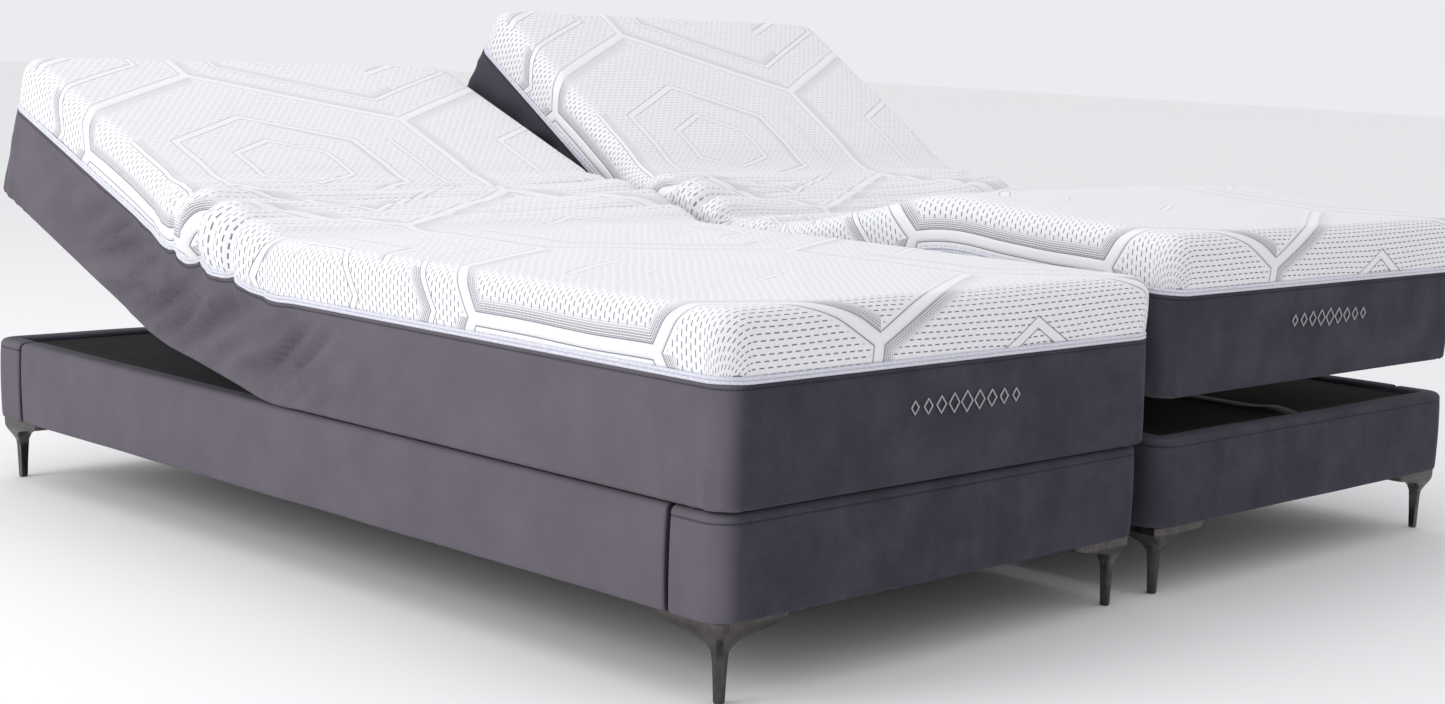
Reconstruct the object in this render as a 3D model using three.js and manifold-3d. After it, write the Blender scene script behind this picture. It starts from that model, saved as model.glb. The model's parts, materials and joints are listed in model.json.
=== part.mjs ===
// A split adjustable bed: two single units side by side. Each unit is an upholstered base on cast
// corner legs, and on it an electric bending mattress: a velvet casing with a knitted top pad, and
// inside it five hinged steel sections, two pull-type linear actuators and two link pairs.
// Millimetres, +Z up. Each unit is drawn lying flat, foot end at y = 0 and head end at y = BASE_LENGTH,
// x = 0 on its centre line; nested groups then turn the sections about their hinges.

import * as THREE from "three";
import { mergeVertices } from "three/addons/utils/BufferGeometryUtils.js";
import Module from "manifold-3d";

const wasm = await Module();
wasm.setup();

// ---- Driving dimensions ----
const BASE_WIDTH = 900;
const BASE_LENGTH = 2000;
const UNIT_SPACING = 950; // centre line to centre line
const LEG_HEIGHT = 115;
const BASE_TOP = 262;
const PANEL_THICKNESS = 45;
const CORNER_RADIUS = 42;
const PANEL_INNER_RADIUS = 15;
const PANEL_RETURN = 102; // how far the end panels wrap round the sides
const PANEL_GAP = 8;
const DECK_TOP = 254;
const DECK_THICKNESS = 18;

const OVERHANG = 12; // of the mattress past the base
const CASING_BOTTOM = 265;
const CASING_TOP = 436.5;
const PAD_BOTTOM = 437.5;
const PAD_TOP = 535;
const CASING_WALL = 20;
const CASING_FLOOR = 3;
const SKIN_GAP = 0.5; // left between parts that rest on each other

const HINGE_Z = 300;
const KNEE_Y = 480;
const HIP_Y = 880;
const LUMBAR_Y = 1060;
const BACK_Y = 1400;
const MAX_FOLD = 30; // degrees that each folding hinge closes from flat
const MAX_KNEE_DROP = 37.2;
const KNEE_RATIO = 1.24; // knee bends this much for each degree of thigh lift

// Degrees from flat at which each unit stands.
const POSES = {
  left: { lumbar: 10.5, back: 10.5, thigh: 0 },
  right: { lumbar: 16.5, back: 16.5, thigh: 12.5 },
};

const HALF = BASE_WIDTH / 2;
const PAD_HALF = HALF + OVERHANG;
const degrees = THREE.MathUtils.degToRad;

// ---- Materials ----
const material = (color, roughness, metalness = 0) =>
  new THREE.MeshStandardMaterial({ color, roughness, metalness });
const velvet = material(0x4d4a55, 0.85);
const knit = material(0xf0f0f2, 0.9);
const deckCloth = material(0x1c1c1e, 0.95);
const legMetal = material(0x4a4643, 0.35, 0.9);
const frameSteel = material(0x2b2c2e, 0.5, 0.6);
const motorPlastic = material(0x303236, 0.6);
const rodSteel = material(0xb8babd, 0.25, 1);

// ---- Solids ----
function solidOf(geometry) {
  const bare = geometry.clone();
  bare.deleteAttribute("normal");
  bare.deleteAttribute("uv");
  const merged = mergeVertices(bare, 1e-3);
  return new wasm.Manifold(
    new wasm.Mesh({
      numProp: 3,
      vertProperties: merged.attributes.position.array,
      triVerts: new Uint32Array(merged.index.array),
    }),
  );
}

function geometryOf(solid) {
  const { vertProperties, triVerts } = solid.getMesh();
  const geometry = new THREE.BufferGeometry();
  geometry.setAttribute("position", new THREE.BufferAttribute(vertProperties, 3));
  geometry.setIndex(new THREE.BufferAttribute(triVerts, 1));
  return geometry;
}

const join = (...solids) => solids.reduce((a, b) => a.add(b));
const cut = (solid, ...tools) => tools.reduce((a, b) => a.subtract(b), solid);

function box(x0, x1, y0, y1, z0, z1) {
  const geometry = new THREE.BoxGeometry(x1 - x0, y1 - y0, z1 - z0);
  return solidOf(geometry.translate((x0 + x1) / 2, (y0 + y1) / 2, (z0 + z1) / 2));
}

// The same box on both sides of the centre line, given by its distances from it.
const boxPair = (near, far, ...rest) => join(box(-far, -near, ...rest), box(near, far, ...rest));

function extruded(shape, depth, options = {}) {
  return new THREE.ExtrudeGeometry(shape, { depth, bevelEnabled: false, curveSegments: 5, ...options });
}

const shapeOf = (points) => new THREE.Shape(points.map(([a, b]) => new THREE.Vector2(a, b)));

// A prism across the bed: its outline is given in y and z.
function acrossPrism(shape, x0, x1) {
  const toSide = new THREE.Matrix4().makeBasis(
    new THREE.Vector3(0, 1, 0),
    new THREE.Vector3(0, 0, 1),
    new THREE.Vector3(1, 0, 0),
  );
  return solidOf(extruded(shape, x1 - x0).applyMatrix4(toSide).translate(x0, 0, 0));
}

const plates = (shape, near, far) => join(acrossPrism(shape, -far, -near), acrossPrism(shape, near, far));

// A prism along the bed: its outline is given in x and z.
function alongPrism(shape, y0, y1) {
  return solidOf(extruded(shape, y1 - y0).rotateX(Math.PI / 2).translate(0, y1, 0));
}

function uprightPrism(shape, z0, z1, options) {
  return solidOf(extruded(shape, z1 - z0, options).translate(0, 0, z0));
}

// A round bar across the bed.
function crossBar(y, z, radius, x0, x1, sides = 12) {
  const geometry = new THREE.CylinderGeometry(radius, radius, x1 - x0, sides);
  return solidOf(geometry.rotateZ(Math.PI / 2).translate((x0 + x1) / 2, y, z));
}

const crossBars = (y, z, radius, near, far) =>
  join(crossBar(y, z, radius, -far, -near), crossBar(y, z, radius, near, far));

// ---- Upholstered base ----
function endPanelOutline() {
  const inner = HALF - PANEL_THICKNESS;
  const innerX = inner - PANEL_INNER_RADIUS;
  const innerY = PANEL_THICKNESS + PANEL_INNER_RADIUS;
  const outline = new THREE.Shape();
  outline.moveTo(-HALF, PANEL_RETURN);
  outline.lineTo(-HALF, CORNER_RADIUS);
  outline.absarc(-HALF + CORNER_RADIUS, CORNER_RADIUS, CORNER_RADIUS, Math.PI, 1.5 * Math.PI);
  outline.absarc(HALF - CORNER_RADIUS, CORNER_RADIUS, CORNER_RADIUS, 1.5 * Math.PI, 2 * Math.PI);
  outline.lineTo(HALF, PANEL_RETURN);
  outline.lineTo(inner, PANEL_RETURN);
  outline.absarc(innerX, innerY, PANEL_INNER_RADIUS, 0, -0.5 * Math.PI, true);
  outline.absarc(-innerX, innerY, PANEL_INNER_RADIUS, -0.5 * Math.PI, -Math.PI, true);
  outline.lineTo(-inner, PANEL_RETURN);
  return outline;
}

const EDGE_ROUND = 12;
const PADDED_EDGE = {
  bevelEnabled: true,
  bevelSize: EDGE_ROUND,
  bevelThickness: EDGE_ROUND,
  bevelOffset: -EDGE_ROUND,
  bevelSegments: 2,
};
const LEDGE_TOP = DECK_TOP - DECK_THICKNESS - SKIN_GAP;
const LEDGE_HEIGHT = 20;
const LEDGE_WIDTH = 25;

function paddedPanel(outline) {
  return uprightPrism(outline, LEG_HEIGHT + EDGE_ROUND, BASE_TOP - EDGE_ROUND, PADDED_EDGE);
}

function endPanel() {
  const inner = HALF - PANEL_THICKNESS;
  const ledge = box(
    -inner + 30,
    inner - 30,
    PANEL_THICKNESS - 5,
    PANEL_THICKNESS + LEDGE_WIDTH,
    LEDGE_TOP - LEDGE_HEIGHT,
    LEDGE_TOP,
  );
  return join(paddedPanel(endPanelOutline()), ledge);
}

// The rail on the +x side.
function sideRail() {
  const y0 = PANEL_RETURN + PANEL_GAP;
  const y1 = BASE_LENGTH - y0;
  const inner = HALF - PANEL_THICKNESS;
  const outline = shapeOf([[inner, y0], [HALF, y0], [HALF, y1], [inner, y1]]);
  const ledge = box(
    inner - LEDGE_WIDTH,
    inner + 5,
    y0 + 20,
    y1 - 20,
    LEDGE_TOP - LEDGE_HEIGHT,
    LEDGE_TOP,
  );
  return join(paddedPanel(outline), ledge);
}

function deck() {
  const half = HALF - PANEL_THICKNESS - 3;
  const near = PANEL_THICKNESS + 3;
  const far = BASE_LENGTH - near;
  const c = 12;
  const outline = shapeOf([
    [-half + c, near], [half - c, near], [half, near + c], [half, far - c],
    [half - c, far], [-half + c, far], [-half, far - c], [-half, near + c],
  ]);
  const board = uprightPrism(outline, DECK_TOP - DECK_THICKNESS, DECK_TOP);
  const battens = [0.2, 0.5, 0.8].map((share) => {
    const y = share * BASE_LENGTH;
    return box(-half + 32, half - 32, y - 20, y + 20, 206, DECK_TOP - DECK_THICKNESS + 1);
  });
  return join(board, ...battens);
}

// ---- Cast leg for the corner at the origin, its bracket arms along +x and +y ----
const LEG_INSET = 36;
const LEG_ARM = 142;
const LEG_ARM_WIDTH = 50;
const LEG_TOP_RADIUS = 10;
const LEG_FOOT_RADIUS = 6.5;
const BRACKET_THICKNESS = 6;

function leg() {
  const top = LEG_HEIGHT - SKIN_GAP;
  const underside = top - BRACKET_THICKNESS;
  const rim = 12;
  const bracket = uprightPrism(
    shapeOf([
      [rim, rim],
      [LEG_ARM, rim],
      [LEG_ARM, LEG_ARM_WIDTH],
      [LEG_ARM_WIDTH, LEG_ARM_WIDTH],
      [LEG_ARM_WIDTH, LEG_ARM],
      [rim, LEG_ARM],
    ]),
    underside,
    top,
  );
  // The rib sweeps from the post out to the arm's tip in one concave curve.
  const rib = new THREE.Shape();
  rib.moveTo(rim + 8, top);
  rib.lineTo(rim + 8, 84);
  rib.lineTo(LEG_INSET, 76);
  rib.lineTo(LEG_INSET + 9, 82);
  rib.quadraticCurveTo(LEG_INSET + 16, 96, LEG_INSET + 36, 100);
  rib.lineTo(LEG_ARM - 4, underside - 1);
  rib.lineTo(LEG_ARM - 4, top);
  const ribAlongY = acrossPrism(rib, rim + 8, LEG_INSET + 4);
  const ribAlongX = alongPrism(rib, rim + 8, LEG_INSET + 4);
  const post = new THREE.CylinderGeometry(LEG_TOP_RADIUS, LEG_FOOT_RADIUS, top, 16);
  const round = solidOf(post.rotateX(Math.PI / 2).translate(LEG_INSET, LEG_INSET, top / 2));
  return join(bracket, ribAlongX, ribAlongY, round);
}

// ---- Soft sections of the bending mattress ----
// An end of a section: either free, at y, or at a hinge, where its face leans back from the hinge's
// axis by `above` degrees over it and `below` degrees under it, so that the fold can close.
const HINGE_GAP = 1;
const FOLD_LEAN = MAX_FOLD / 2 + 0.6;
const KNEE_LEAN = MAX_KNEE_DROP / 2 + 0.6;
const fold = (y) => ({ y, above: FOLD_LEAN, below: 0 });
const drop = (y) => ({ y, above: 0, below: KNEE_LEAN });
const free = (y) => ({ y, above: null });

const SECTIONS = {
  calf: { foot: free(-OVERHANG), head: drop(KNEE_Y) },
  thigh: { foot: drop(KNEE_Y), head: fold(HIP_Y) },
  seat: { foot: fold(HIP_Y), head: fold(LUMBAR_Y) },
  lumbar: { foot: fold(LUMBAR_Y), head: fold(BACK_Y) },
  back: { foot: fold(BACK_Y), head: free(BASE_LENGTH + OVERHANG) },
};

// Where the end's face is at height z; side is +1 at a section's foot end and -1 at its head end.
function faceAt(end, z, side) {
  if (end.above === null) return end.y;
  const lean = z > HINGE_Z ? end.above : end.below;
  return end.y + side * (HINGE_GAP + Math.abs(z - HINGE_Z) * Math.tan(degrees(lean)));
}

function sideOutline({ foot, head }, z0, z1, rounding = 0) {
  const heights = z0 < HINGE_Z ? [z0, HINGE_Z, z1] : [z0, z1];
  const points = heights.map((z) => [faceAt(head, z, -1), z]);
  const back = heights.map((z) => [faceAt(foot, z, 1), z]).reverse();
  const rounded = (end, sign) => {
    if (end.above !== null || !rounding) return [[faceAt(end, z1, sign), z1]];
    return [0, 0.25, 0.5, 0.75, 1].map((t) => {
      const a = (t * Math.PI) / 2;
      return [end.y + sign * rounding * (1 - Math.cos(a)), z1 - rounding * (1 - Math.sin(a))];
    });
  };
  return shapeOf([
    ...points.slice(0, -1),
    ...rounded(head, -1),
    ...rounded(foot, 1).reverse(),
    ...back.slice(1),
  ]);
}

// The mattress seen from above, with round corners, so that the end sections take their shape.
function planOutline(radius) {
  const y0 = -OVERHANG;
  const y1 = BASE_LENGTH + OVERHANG;
  const outline = new THREE.Shape();
  outline.absarc(PAD_HALF - radius, y1 - radius, radius, 0, Math.PI / 2);
  outline.absarc(-PAD_HALF + radius, y1 - radius, radius, Math.PI / 2, Math.PI);
  outline.absarc(-PAD_HALF + radius, y0 + radius, radius, Math.PI, 1.5 * Math.PI);
  outline.absarc(PAD_HALF - radius, y0 + radius, radius, 1.5 * Math.PI, 2 * Math.PI);
  return outline;
}

const PAD_CORNER = 70;
const CASING_CORNER = 40;
const PAD_EDGE = 36;

function padSection(section, bottom = PAD_BOTTOM) {
  const profile = new THREE.Shape();
  profile.moveTo(-PAD_HALF, bottom);
  profile.lineTo(PAD_HALF, bottom);
  profile.absarc(PAD_HALF - PAD_EDGE, PAD_TOP - PAD_EDGE, PAD_EDGE, 0, Math.PI / 2);
  profile.absarc(-PAD_HALF + PAD_EDGE, PAD_TOP - PAD_EDGE, PAD_EDGE, Math.PI / 2, Math.PI);
  const length = alongPrism(profile, -OVERHANG - 5, BASE_LENGTH + OVERHANG + 5);
  const side = acrossPrism(
    sideOutline(section, bottom, PAD_TOP, PAD_EDGE),
    -PAD_HALF - 5,
    PAD_HALF + 5,
  );
  const plan = uprightPrism(planOutline(PAD_CORNER), bottom - 5, PAD_TOP + 5);
  return length.intersect(side).intersect(plan);
}

function casingSection(section) {
  const shell = acrossPrism(sideOutline(section, CASING_BOTTOM, CASING_TOP), -PAD_HALF, PAD_HALF);
  const plan = uprightPrism(planOutline(CASING_CORNER), CASING_BOTTOM - 5, CASING_TOP + 5);
  const inset = (end, sign) => (end.above === null ? end.y + sign * CASING_WALL : end.y - sign * 60);
  const inside = box(
    -PAD_HALF + CASING_WALL,
    PAD_HALF - CASING_WALL,
    inset(section.foot, 1),
    inset(section.head, -1),
    CASING_BOTTOM + CASING_FLOOR,
    CASING_TOP + 5,
  );
  return cut(shell.intersect(plan), inside);
}

// ---- Steel sections ----
const RAIL_NEAR = 405;
const RAIL_FAR = 430;
const RAIL_BOTTOM = 285;
const RAIL_TOP = 315;
const TUBE_WALL = 2.5;
const CROSS_DEPTH = 25;
const CROSS_SETBACK = 33; // from a hinge's axis to the nearest cross tube
const SLAT_TOP = 428;
const SLAT_THICKNESS = 4;
const SLAT_WIDTH = 40;
const POST = 20;
const PIN_RADIUS = 6;
const PIN_CLEARANCE = 0.6;
const KNUCKLE_RADIUS = 14;
const PARENT_KNUCKLE = [392, 398];
const CHILD_KNUCKLE = [380, 386];
const PIN_INNER = 376;

// An open-ended rectangular tube along the bed.
function tube(x0, x1, y0, y1, z0, z1) {
  const w = TUBE_WALL;
  return cut(box(x0, x1, y0, y1, z0, z1), box(x0 + w, x1 - w, y0 - 1, y1 + 1, z0 + w, z1 - w));
}

// A lug plate from a round eye at (y, z) to an upright root edge at rootY, between z0 and z1.
function lugShape(y, z, radius, rootY, z0, z1) {
  const side = Math.sign(rootY - y);
  const eye = [];
  for (let i = 0; i <= 8; i++) {
    const a = Math.PI / 2 + (side * i * Math.PI) / 8;
    eye.push([y + radius * Math.cos(a), z + radius * Math.sin(a)]);
  }
  return shapeOf([...eye, [rootY, z0], [rootY, z1]]);
}

// A plate that stands up from a cross tube to an eye at (y, z).
function towerShape(y, z, radius, footFrom, footTo, footZ) {
  const outline = new THREE.Shape();
  outline.moveTo(footFrom, footZ);
  outline.lineTo(footTo, footZ);
  outline.lineTo(y + radius, z);
  outline.absarc(y, z, radius, 0, Math.PI);
  return outline;
}

// The ladder of rails, posts and slats between two ends; ends are at hinges or free.
function ladder(y0, y1, crossBands, slatInset) {
  const rails = join(
    tube(-RAIL_FAR, -RAIL_NEAR, y0, y1, RAIL_BOTTOM, RAIL_TOP),
    tube(RAIL_NEAR, RAIL_FAR, y0, y1, RAIL_BOTTOM, RAIL_TOP),
  );
  const w = TUBE_WALL;
  const crosses = crossBands.map(([y, z0, z1]) => box(-RAIL_NEAR, RAIL_NEAR, y, y + CROSS_DEPTH, z0, z1));
  // Each cross tube's hollow opens into the rails' own.
  const bores = crossBands.map(([y, z0, z1]) =>
    box(-RAIL_NEAR - w - 1, RAIL_NEAR + w + 1, y + w, y + CROSS_DEPTH - w, z0 + w, z1 - w),
  );
  const first = y0 + slatInset[0];
  const last = y1 - slatInset[1];
  const posts = [first, last - POST].map((y) =>
    boxPair(RAIL_FAR - POST, RAIL_FAR, y, y + POST, RAIL_TOP - 1, SLAT_TOP - SLAT_THICKNESS + 1),
  );
  const count = Math.max(2, Math.round((last - first) / 110));
  const slats = [];
  for (let i = 0; i < count; i++) {
    const y = first + ((last - first - SLAT_WIDTH) * i) / (count - 1);
    slats.push(box(-RAIL_FAR, RAIL_FAR, y, y + SLAT_WIDTH, SLAT_TOP - SLAT_THICKNESS, SLAT_TOP));
  }
  const edges = boxPair(RAIL_FAR - POST, RAIL_FAR, first, last, SLAT_TOP - SLAT_THICKNESS, SLAT_TOP);
  return cut(join(rails, ...crosses, ...posts, ...slats, edges), ...bores);
}

// Knuckles that carry a hinge's pin, on the section that stays, and those that turn on it.
// side is +1 where the section lies past the hinge towards the head, and -1 towards the foot.
function knuckle(y, side, [near, far]) {
  const rootY = y + side * (CROSS_SETBACK + 4);
  return plates(lugShape(y, HINGE_Z, KNUCKLE_RADIUS, rootY, RAIL_BOTTOM + 2, RAIL_TOP - 2), near, far);
}

const hingePins = (y) => crossBars(y, HINGE_Z, PIN_RADIUS, PIN_INNER, PARENT_KNUCKLE[1]);
const pinHoles = (y) => crossBars(y, HINGE_Z, PIN_RADIUS + PIN_CLEARANCE, PIN_INNER - 5, CHILD_KNUCKLE[1] + 2);

// ---- Links ----
const LINK_BAR = [352, 358];
const LINK_LUG = [362, 367];
const LINK_PIN_RADIUS = 5;
const LINK_PIN_INNER = 347;
const LINK_HALF_HEIGHT = 8;
const LINK_LUG_RADIUS = 9;
const BACK_LINK_OFFSET = 20; // under the lumbar hinge at one end, over the back hinge at the other
const KNEE_LINK_SEAT = 50; // over the hip hinge
const KNEE_LINK_CALF = KNEE_LINK_SEAT / KNEE_RATIO; // over the knee hinge
const OPEN_PIN_CLEARANCE = 2.4; // the link's far eye, which the tree of joints leaves open

const linkPins = (y, z) => crossBars(y, z, LINK_PIN_RADIUS, LINK_PIN_INNER, LINK_LUG[1]);

// Two flat bars with an eye at each end, joined by a cross tube at tie (0 to 1) of their length.
function linkPair(from, to, tie) {
  const [y0, z0] = from;
  const [y1, z1] = to;
  const length = Math.hypot(y1 - y0, z1 - z0);
  const bar = new THREE.Shape();
  bar.absarc(0, 0, LINK_HALF_HEIGHT, Math.PI / 2, 1.5 * Math.PI);
  bar.absarc(length, 0, LINK_HALF_HEIGHT, -Math.PI / 2, Math.PI / 2);
  const angle = Math.atan2(z1 - z0, y1 - y0);
  const place = (solid) => solid.rotate([THREE.MathUtils.radToDeg(angle), 0, 0]).translate([0, y0, z0]);
  const solid = join(plates(bar, ...LINK_BAR), crossBar(tie * length, 0, 6, -LINK_BAR[1], LINK_BAR[1]));
  const holes = [
    crossBars(0, 0, LINK_PIN_RADIUS + PIN_CLEARANCE, LINK_BAR[0] - 3, LINK_BAR[1] + 3),
    crossBars(length, 0, LINK_PIN_RADIUS + OPEN_PIN_CLEARANCE, LINK_BAR[0] - 3, LINK_BAR[1] + 3),
  ];
  return place(cut(solid, ...holes));
}

// ---- Actuators ----
// Each pulls between a tower on the seat section and a bracket at the far end of the section it lifts.
const TOWER_OFFSET = 20; // the tower's pin from its hinge, towards the middle of the seat
const TOWER_RISE = 80;
const BRACKET_RISE = 40;
const HEAD_REACH = 285; // from the lumbar hinge to the head actuator's bracket
const FOOT_REACH = 325;
const EYE_RADIUS = 14;
const EYE_HALF_WIDTH = 8;
const TOWER_PLATES = [11, 16];
const BRACKET_PLATES = [18, 23];
const OPEN_EYE_CLEARANCE = 4;
const ROD_RADIUS = 9;
const ROD_LENGTH = 180;
const BORE_CLEARANCE = 0.6;
const BARREL_LENGTH = 205;

// Drawn along +y from the bracket's pin at the origin.
function actuatorBody() {
  const lie = (geometry, x, y, z) => solidOf(geometry.translate(x, y, z));
  const gearbox = box(-34, 78, 22, 74, -24, 24);
  const tang = box(-EYE_HALF_WIDTH * 2, EYE_HALF_WIDTH * 2, 0, 30, -10, 10);
  const eye = crossBar(0, 0, EYE_RADIUS - 3, -EYE_HALF_WIDTH * 2, EYE_HALF_WIDTH * 2);
  const barrel = lie(new THREE.CylinderGeometry(17, 17, BARREL_LENGTH - 60, 16), 0, (BARREL_LENGTH + 60) / 2, 0);
  const motor = lie(new THREE.CylinderGeometry(24, 24, 116, 16), 52, 128, 0);
  const bore = lie(
    new THREE.CylinderGeometry(ROD_RADIUS + BORE_CLEARANCE, ROD_RADIUS + BORE_CLEARANCE, BARREL_LENGTH, 16),
    0,
    BARREL_LENGTH / 2 + 66,
    0,
  );
  const pinHole = crossBar(0, 0, PIN_RADIUS + PIN_CLEARANCE, -20, 20);
  return cut(join(gearbox, tang, eye, barrel, motor), bore, pinHole);
}

// Drawn along -y from the centre of its eye at the origin.
function actuatorRod() {
  const rod = new THREE.CylinderGeometry(ROD_RADIUS, ROD_RADIUS, ROD_LENGTH, 16);
  const shank = solidOf(rod.translate(0, -ROD_LENGTH / 2, 0));
  const head = crossBar(0, 0, EYE_RADIUS, -EYE_HALF_WIDTH, EYE_HALF_WIDTH, 16);
  return cut(join(shank, head), crossBar(0, 0, PIN_RADIUS + OPEN_EYE_CLEARANCE, -20, 20, 16));
}

// ---- The five steel sections ----
const LOW_BAND = [RAIL_BOTTOM, RAIL_BOTTOM + 17];
const HIGH_BAND = [RAIL_TOP - 17, RAIL_TOP];
const FULL_BAND = [RAIL_BOTTOM + 3, RAIL_TOP - 3];
const RAIL_SETBACK = 10;
const SLAT_SETBACK = 30;
const past = (y) => y + CROSS_SETBACK;
const short = (y) => y - CROSS_SETBACK - CROSS_DEPTH;

function seatFrame() {
  const base = ladder(
    HIP_Y + RAIL_SETBACK,
    LUMBAR_Y - RAIL_SETBACK,
    [[past(HIP_Y), ...FULL_BAND], [short(LUMBAR_Y), ...FULL_BAND]],
    [SLAT_SETBACK, SLAT_SETBACK],
  );
  const towers = [
    [HIP_Y + TOWER_OFFSET, past(HIP_Y) + 2, past(HIP_Y) + 23],
    [LUMBAR_Y - TOWER_OFFSET, short(LUMBAR_Y) + 2, short(LUMBAR_Y) + 23],
  ].map(([y, from, to]) =>
    join(
      plates(towerShape(y, HINGE_Z + TOWER_RISE, EYE_RADIUS, from, to, RAIL_TOP - 6), ...TOWER_PLATES),
      crossBar(y, HINGE_Z + TOWER_RISE, PIN_RADIUS, -TOWER_PLATES[1], TOWER_PLATES[1]),
    ),
  );
  const kneeZ = HINGE_Z + KNEE_LINK_SEAT;
  const kneeLug = plates(
    towerShape(HIP_Y, kneeZ, LINK_LUG_RADIUS, past(HIP_Y) + 2, past(HIP_Y) + 23, RAIL_TOP - 6),
    ...LINK_LUG,
  );
  const backZ = HINGE_Z - BACK_LINK_OFFSET;
  const root = short(LUMBAR_Y) + 20;
  const backLug = plates(
    shapeOf([
      [LUMBAR_Y + 6, backZ - 7],
      [LUMBAR_Y + 9, backZ],
      [LUMBAR_Y + 6, backZ + 7],
      [root, HINGE_Z + 4],
      [root, backZ - 7],
    ]),
    ...LINK_LUG,
  );
  return join(
    base,
    knuckle(HIP_Y, 1, PARENT_KNUCKLE),
    knuckle(LUMBAR_Y, -1, PARENT_KNUCKLE),
    hingePins(HIP_Y),
    hingePins(LUMBAR_Y),
    ...towers,
    kneeLug,
    linkPins(HIP_Y, kneeZ),
    backLug,
    linkPins(LUMBAR_Y, backZ),
  );
}

// The pair of plates with a pin that holds an actuator's body, standing on a low cross tube.
function actuatorBracket(y, crossY) {
  const z = HINGE_Z + BRACKET_RISE;
  return join(
    plates(towerShape(y, z, EYE_RADIUS - 2, crossY + 1, crossY + 24, HINGE_Z - 2), ...BRACKET_PLATES),
    crossBar(y, z, PIN_RADIUS, -BRACKET_PLATES[1], BRACKET_PLATES[1]),
  );
}

function lumbarFrame() {
  const base = ladder(
    LUMBAR_Y + RAIL_SETBACK,
    BACK_Y - RAIL_SETBACK,
    [[past(LUMBAR_Y), ...HIGH_BAND], [short(BACK_Y), ...LOW_BAND]],
    [SLAT_SETBACK, SLAT_SETBACK],
  );
  const child = cut(knuckle(LUMBAR_Y, 1, CHILD_KNUCKLE), pinHoles(LUMBAR_Y));
  const parent = join(knuckle(BACK_Y, -1, PARENT_KNUCKLE), hingePins(BACK_Y));
  return join(base, child, parent, actuatorBracket(LUMBAR_Y + HEAD_REACH, short(BACK_Y)));
}

function backFrame() {
  const head = BASE_LENGTH - 20;
  const base = ladder(
    BACK_Y + RAIL_SETBACK,
    head,
    [[past(BACK_Y), ...FULL_BAND], [head - 40, ...FULL_BAND]],
    [SLAT_SETBACK, 5],
  );
  const child = cut(knuckle(BACK_Y, 1, CHILD_KNUCKLE), pinHoles(BACK_Y));
  const z = HINGE_Z + BACK_LINK_OFFSET;
  const lug = plates(
    towerShape(BACK_Y, z, LINK_LUG_RADIUS, past(BACK_Y) + 2, past(BACK_Y) + 23, HINGE_Z + 4),
    ...LINK_LUG,
  );
  return join(base, child, lug, linkPins(BACK_Y, z));
}

function thighFrame() {
  const base = ladder(
    KNEE_Y + RAIL_SETBACK,
    HIP_Y - RAIL_SETBACK,
    [[past(KNEE_Y), ...FULL_BAND], [short(HIP_Y), ...FULL_BAND]],
    [5, SLAT_SETBACK],
  );
  const child = cut(knuckle(HIP_Y, -1, CHILD_KNUCKLE), pinHoles(HIP_Y));
  const parent = join(knuckle(KNEE_Y, 1, PARENT_KNUCKLE), hingePins(KNEE_Y));
  return join(base, child, parent, actuatorBracket(HIP_Y - FOOT_REACH, past(KNEE_Y)));
}

function calfFrame() {
  const base = ladder(
    20,
    KNEE_Y - RAIL_SETBACK,
    [[40, ...FULL_BAND], [short(KNEE_Y), ...FULL_BAND]],
    [5, 5],
  );
  const child = cut(knuckle(KNEE_Y, -1, CHILD_KNUCKLE), pinHoles(KNEE_Y));
  const z = HINGE_Z + KNEE_LINK_CALF;
  const lug = plates(
    towerShape(KNEE_Y, z, LINK_LUG_RADIUS, short(KNEE_Y) + 2, short(KNEE_Y) + 23, HINGE_Z + 4),
    ...LINK_LUG,
  );
  return join(base, child, lug, linkPins(KNEE_Y, z));
}

// Stands on the seat section's two cross tubes.
function controlBox() {
  const [x0, x1] = [120, 320];
  const [y0, y1] = [past(HIP_Y) + 2, past(HIP_Y) + 112];
  const z0 = FULL_BAND[1] + SKIN_GAP;
  const shell = box(x0, x1, y0, y1, z0, z0 + 46);
  const ribs = [0, 1, 2, 3].map((i) => box(x0 + 30 + i * 40, x0 + 38 + i * 40, y0 + 10, y1 - 10, z0 + 45, z0 + 49));
  const sockets = [0, 1, 2].map((i) => box(x0 + 25 + i * 55, x0 + 45 + i * 55, y0 - 1, y0 + 12, z0 + 14, z0 + 30));
  return cut(join(shell, ...ribs), ...sockets);
}

// ---- Assembly ----
function add(parent, name, solid, finish, place) {
  const mesh = new THREE.Mesh(geometryOf(solid), finish);
  mesh.name = name;
  if (place) place(mesh);
  parent.add(mesh);
  return mesh;
}

// A group whose contents are drawn flat and then turned about the axis across the bed at (y, z).
function hinged(parent, y, z, angle) {
  const pivot = new THREE.Group();
  pivot.position.set(0, y, z);
  pivot.rotation.x = degrees(angle);
  const contents = new THREE.Group();
  contents.position.set(0, -y, -z);
  pivot.add(contents);
  parent.add(pivot);
  return contents;
}

const turned = (y, z, aboutY, aboutZ, angle) => {
  const a = degrees(angle);
  const dy = y - aboutY;
  const dz = z - aboutZ;
  return [
    aboutY + dy * Math.cos(a) - dz * Math.sin(a),
    aboutZ + dy * Math.sin(a) + dz * Math.cos(a),
  ];
};

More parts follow.
